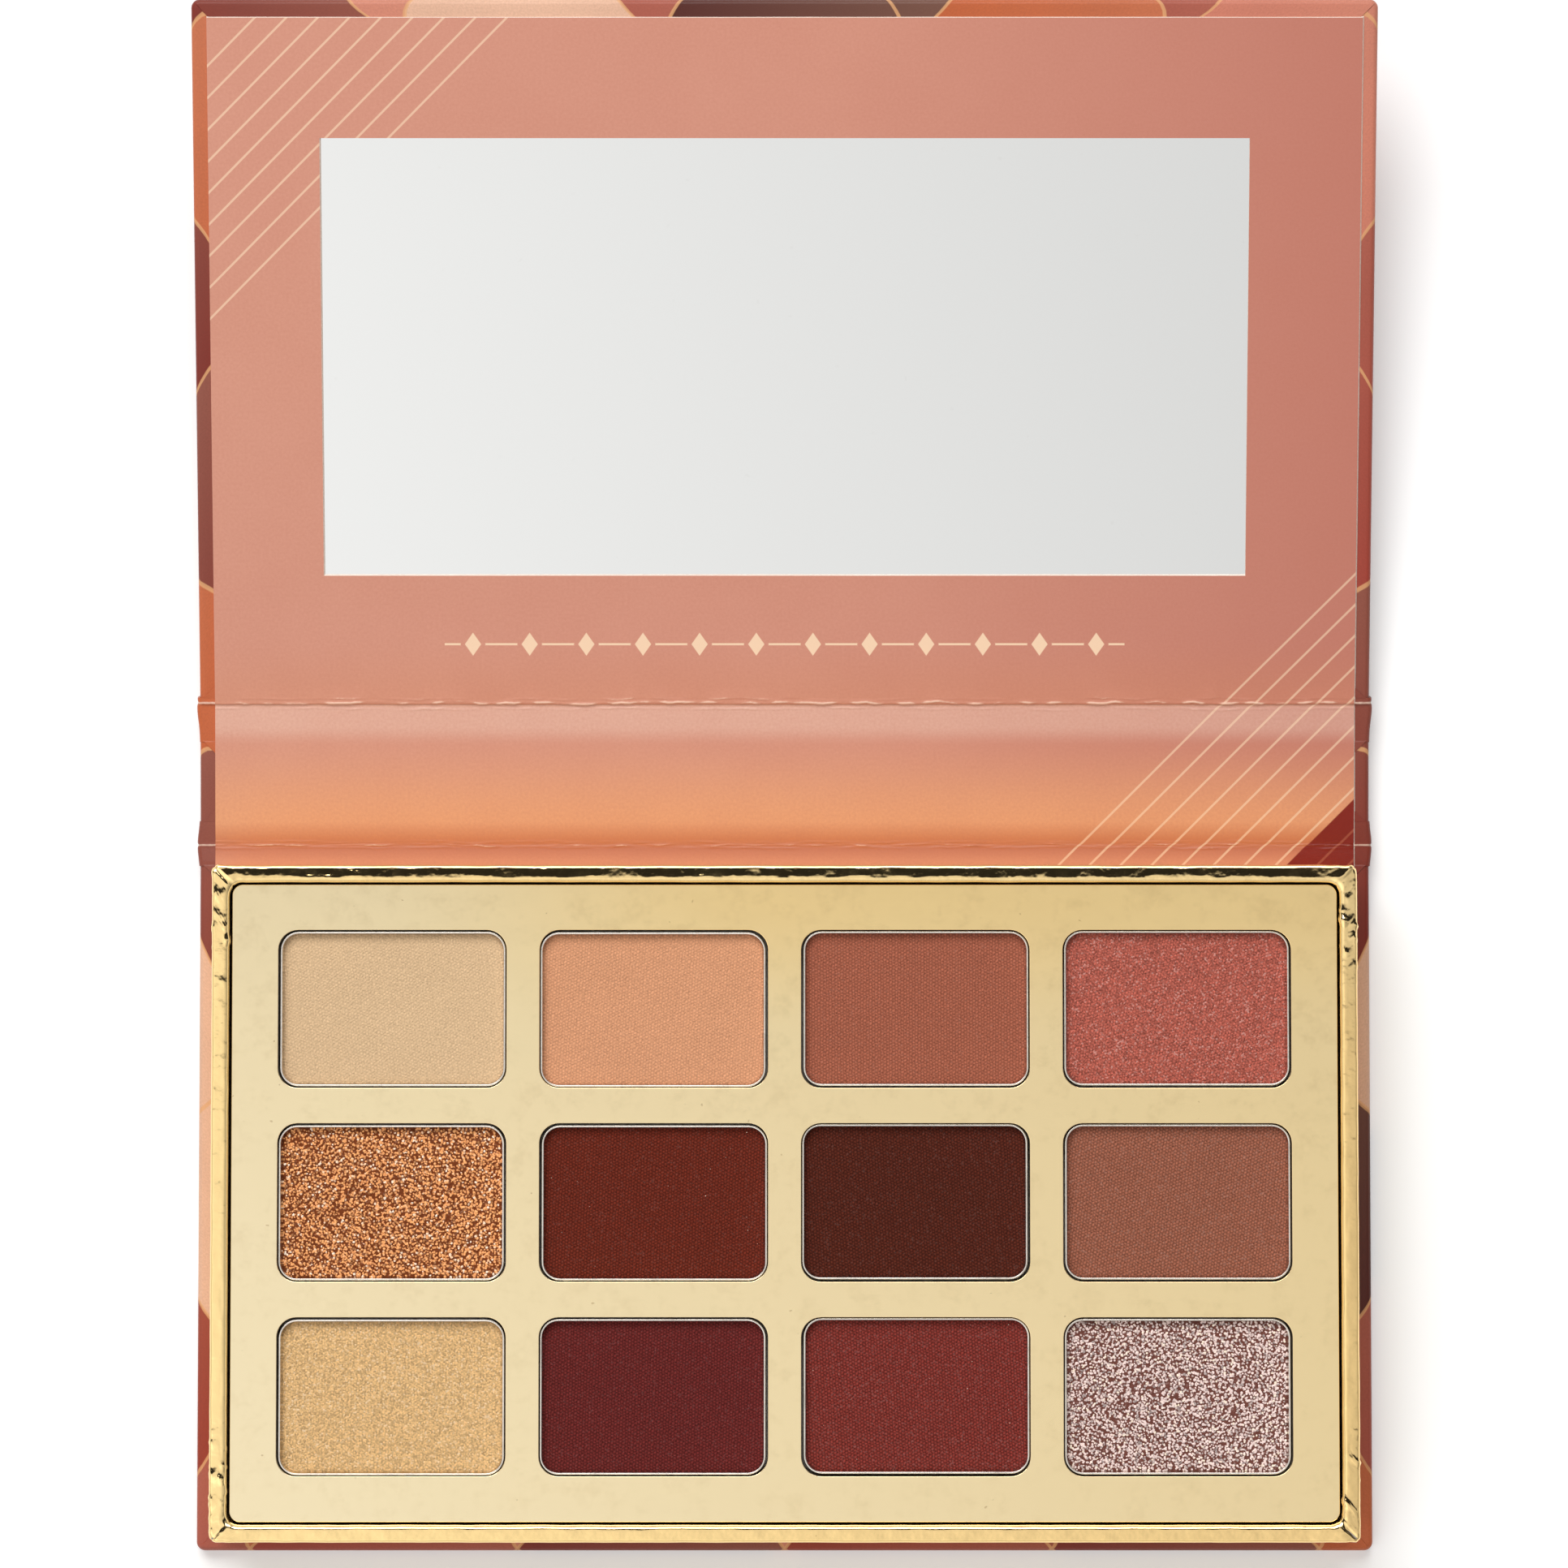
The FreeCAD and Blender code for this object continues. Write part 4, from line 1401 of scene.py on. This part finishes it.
def pan_shift(number):
    """How far a pan sits off the middle of its window."""
    turn_x, turn_y = PAN_SHIFT_TURNS
    return PAN_SHIFT * math.sin(turn_x * number), PAN_SHIFT * math.cos(turn_y * number)


def grown_spans(node, number, margin):
    """Spans of a CAD node, widened by a margin and shifted with its pan, and its lowest and highest z."""
    low, high = flat_box(node, "base")
    shift_x, shift_y = pan_shift(number)
    x_span = (low[0] - margin + shift_x, high[0] + margin + shift_x)
    y_span = (low[1] - margin + shift_y, high[1] + margin + shift_y)
    return x_span, y_span, low[2], high[2]


def build_pan(number):
    """A drawn tinplate pan with a rounded foot and a slightly flared, rounded rim."""
    node = f"pan_{number:02d}"
    x_span, y_span, bottom, top = grown_spans(node, number, PAN_FLARE)
    section = arc((PAN_FLARE + PAN_FOOT, bottom + PAN_FOOT), PAN_FOOT, 270, 180, 4)
    section += [(PAN_FLARE, top - PAN_NECK), (0.0, top - PAN_LIP)]
    section += arc((PAN_RIM_ROUND, top - PAN_RIM_ROUND), PAN_RIM_ROUND, 180, 90, 3)
    section += arc((PAN_WALL - PAN_RIM_ROUND, top - PAN_RIM_ROUND), PAN_RIM_ROUND, 90, 0, 3)
    section += [(PAN_WALL, top - PAN_LIP), (PAN_FLARE + PAN_WALL, top - PAN_NECK)]
    section += arc((PAN_FLARE + PAN_FOOT, bottom + PAN_FOOT), PAN_FOOT - PAN_WALL, 180, 270, 3)
    radii = (PAN_RADIUS, PAN_RADIUS)
    rings = [at_height(ring(x_span, y_span, radii, inset, PAN_SPACING), z) for inset, z in section]
    points, faces = loft(rings)
    piece = make_piece(f"tin_{node}", points, faces, [pan_tin])
    hand_over(piece, "base", "tinplate", node)


def build_powder(number):
    """A cake of pressed powder, a little uneven on top and soft at its edge."""
    slot, colour, finish, turn = POWDERS[number - 1]
    node = f"powder_{number:02d}"
    x_span, y_span, bottom, top = grown_spans(node, number, CAKE_SPREAD)
    top -= CAKE_DROP
    radius = PAN_RADIUS - PAN_WALL
    edge = top - CAKE_EDGE_DROP
    section = [(CAKE_SPREAD + CAKE_FOOT, bottom), (CAKE_SPREAD, bottom + CAKE_FOOT)]
    section.append((CAKE_SPREAD, edge - 0.4))
    section += [(0.0, edge - 0.1), (0.03, edge), (0.15, top - 0.4 * CAKE_EDGE_DROP), (0.35, top - 0.01)]
    reach = (y_span[1] - y_span[0]) / 2
    section += [(inset, top) for inset in np.linspace(0.7, reach - 0.4, CAKE_RINGS)]
    rings = []
    for inset, z in section:
        points = at_height(ring(x_span, y_span, (radius, radius), inset, CAKE_SPACING), z)
        if z > edge - 0.05:
            slow = [noise.noise((x / CAKE_SWELL_LENGTH, y / CAKE_SWELL_LENGTH, number)) for x, y, _ in points]
            quick = [noise.noise((x, y, number)) for x, y, _ in points]
            points[:, 2] += CAKE_SWELL * np.array(slow) + CAKE_GRAIN * np.array(quick)
        rings.append(points)
    points, faces = loft(rings)
    cake_finish = pressed_powder(slot, colour, finish, turn)
    piece = make_piece(f"pressed_{node}", points, faces, [cake_finish], sharp_angle=60.0)
    hand_over(piece, "base", slot, node)
    if finish in FLAKED:
        scatter_grains(piece, node, slot, colour, GRAIN_SIZE, GRAINS_PER_SQUARE)
    elif slot in SPARKLING:
        scatter_grains(piece, node, slot, colour, SPARK_SIZE, SPARKS_PER_SQUARE)


def random_number(tree, low, high, seed):
    """A random number between two limits, one for each point or grain."""
    inputs = {2: low, 3: high, "Seed": seed}
    return add(tree, "FunctionNodeRandomValue", inputs, data_type="FLOAT").outputs[1]


def glitter_tree():
    """Faceted grains scattered over the upper faces of a cake."""
    inputs = ("Geometry", "Grain Size", "Density", "Seed", "Finish")
    tree, given, result = growing_tree("glitter_tree", inputs)
    upward = coordinates(add(tree, "GeometryNodeInputNormal").outputs["Normal"])[2]
    on_top = calc("GREATER_THAN", upward, FLAKE_FLATNESS)
    points = add(
        tree,
        "GeometryNodeDistributePointsOnFaces",
        {"Mesh": given["Geometry"], "Selection": on_top, "Density": given["Density"], "Seed": given["Seed"]},
    ).outputs["Points"]
    radius = calc("MULTIPLY", given["Grain Size"], 0.5)
    flake = add(tree, "GeometryNodeMeshIcoSphere", {"Radius": radius, "Subdivisions": 1}).outputs["Mesh"]
    flake = add(tree, "GeometryNodeTransform", {"Geometry": flake, "Scale": FLAKE_SHAPE}).outputs[0]
    least, most = (-FLAKE_LEAN, -FLAKE_LEAN, 0.0), (FLAKE_LEAN, FLAKE_LEAN, 2 * math.pi)
    turns = {0: least, 1: most, "Seed": given["Seed"]}
    lean = add(tree, "FunctionNodeRandomValue", turns, data_type="FLOAT_VECTOR").outputs[0]
    size = random_number(tree, *GRAIN_SIZE_RANGE, given["Seed"])
    flakes = {"Points": points, "Instance": flake, "Rotation": lean, "Scale": size}
    grains = add(tree, "GeometryNodeInstanceOnPoints", flakes).outputs[0]
    share = random_number(tree, 0.0, 1.0, TINT_SEED)
    tinted = add(
        tree,
        "GeometryNodeStoreNamedAttribute",
        {"Geometry": grains, "Name": "grain_tint", "Value": share},
        data_type="FLOAT",
        domain="INSTANCE",
    ).outputs[0]
    return finish_tree(tree, tinted, given["Finish"], result)


glitter_grower = glitter_tree()


def scatter_grains(cake, node, slot, colour, size, per_square):
    """Glitter grains pressed into a cake's surface, as one piece."""
    values = {
        "Grain Size": size * MM,
        "Density": per_square / MM**2,
        "Seed": GRAIN_SEED,
        "Finish": glitter_grains(f"{slot}_glitter", colour),
    }
    piece = grow(f"glitter_{node}", glitter_grower, values, cake.data.copy())
    hand_over(piece, "base", slot)


def build_tray():
    build_tray_foil()
    build_window_card()
    for number in range(1, COLUMNS * ROWS + 1):
        build_pan(number)
        build_powder(number)


def dress_hidden_nodes():
    """Finishes for the CAD nodes that stay: boards, riser, glue, magnets and the mirror."""
    walls = [f"tray_wall_{side}" for side in ("front", "back", "left", "right")]
    boards = ["base_board", "spine_board", "lid_back_board", "lid_frame_board", "pan_grid", *walls]
    dressed = (
        (mirror_silver, ["mirror"]),
        (HIDDEN_FINISHES["foam_riser"], ["tray_riser"]),
        (HIDDEN_FINISHES["adhesive"], ["mirror_tape", "pan_glue_pads"]),
        (HIDDEN_FINISHES["magnet"], ["lid_magnets", "tray_magnets"]),
        (HIDDEN_FINISHES["greyboard"], boards),
    )
    for material, nodes in dressed:
        for node in nodes:
            for place in frame["nodes"][node].material_slots:
                place.material = material


# Stage: floor, light and camera

def seen_rays(tree):
    """The camera's rays, and those that show the studio in metal or through glass."""
    path = add(tree, "ShaderNodeLightPath").outputs
    return path["Is Camera Ray"], calc("ADD", path["Is Glossy Ray"], path["Is Transmission Ray"])


def build_floor():
    corners = ((-1, -1), (1, -1), (1, 1), (-1, 1))
    points = [(x * FLOOR_HALF, y * FLOOR_HALF, -FLOOR_DROP) for x, y in corners]
    material, tree, shader = new_material("studio_floor")
    tint = mix(grain(object_place(tree), 0.02, 2.0), srgb(246, 246, 246), srgb(242, 242, 242))
    camera_ray, mirrored = seen_rays(tree)
    seen = calc("ADD", camera_ray, mirrored, clamp=True)
    set_shader(
        shader,
        Base_Color=tint,
        Roughness=0.9,
        Specular_IOR_Level=0.0,
        Emission_Color=srgb(255, 255, 255),
        Emission_Strength=calc("MULTIPLY", seen, FLOOR_GLOW),
    )
    floor = make_piece("studio_floor", points, [(0, 1, 2, 3)], [material])


def aim_along(thing, direction):
    """Turn a lamp or a camera to look along a direction."""
    thing.rotation_euler = direction.to_track_quat("-Z", "Y").to_euler()


def build_light():
    """A bright studio sky, stronger to the left, with a dark gap below a soft box behind the lid.

    The camera sees plain white instead, and so do reflections near the horizon.
    """
    world = bpy.data.worlds.new("studio")
    bpy.context.scene.world = world
    world.use_nodes = True
    tree = world.node_tree
    direction = add(tree, "ShaderNodeTexCoord").outputs["Generated"]
    x, y, z = coordinates(direction)
    sideways = calc("MINIMUM", calc("MAXIMUM", x, -SKY_SIDE_REACH), SKY_SIDE_REACH)
    slope = step_up(y, *SKY_SLOPE_CHANGE, *SKY_SIDE_SLOPES)
    level = calc("MULTIPLY_ADD", sideways, slope, SKY_LEVEL)
    level = calc("MULTIPLY_ADD", y, SKY_BACK_SLOPE, level)
    level = calc("MULTIPLY", level, step_up(z, 0.0, SKY_TOP, SKY_AT_HORIZON, 1.0))
    gap = step_up(y, *GAP_START, 1.0, SKY_LEAST)
    gap = calc("MAXIMUM", gap, step_up(y, *GAP_END))
    level = calc("MAXIMUM", calc("MULTIPLY", level, gap), SKY_LEAST)
    camera_ray, mirrored = seen_rays(tree)
    mirrored = calc("MULTIPLY", mirrored, step_up(z, *WHITE_HORIZON, 1.0, 0.0))
    white = calc("ADD", camera_ray, mirrored, clamp=True)
    background = tree.nodes["Background"]
    feed(background.inputs["Color"], srgb(255, 254, 252))
    feed(background.inputs["Strength"], calc("MAXIMUM", level, white))

    box = bpy.data.lights.new("soft_box", "AREA")
    box.shape = "RECTANGLE"
    box.size, box.size_y = SOFT_BOX_SIZE
    box.energy = SOFT_BOX_POWER
    lamp = link_object("soft_box", box)
    lamp.location = SOFT_BOX_PLACE
    aim_along(lamp, Vector(SOFT_BOX_AIM) - lamp.location)


def build_camera():
    data = bpy.data.cameras.new("photo_camera")
    data.sensor_width = SENSOR
    data.lens = SENSOR * PHOTO_FOCAL / PHOTO_SIDE
    camera = link_object("photo_camera", data)
    camera.location = Vector(CAMERA_PLACE) * MM
    aim_along(camera, (Vector(CAMERA_TARGET) - Vector(CAMERA_PLACE)) * MM)
    bpy.context.scene.camera = camera


build_camera()
build_case()
build_tray()
dress_hidden_nodes()
build_floor()
build_light()
bpy.context.scene.view_settings.view_transform = "Standard"
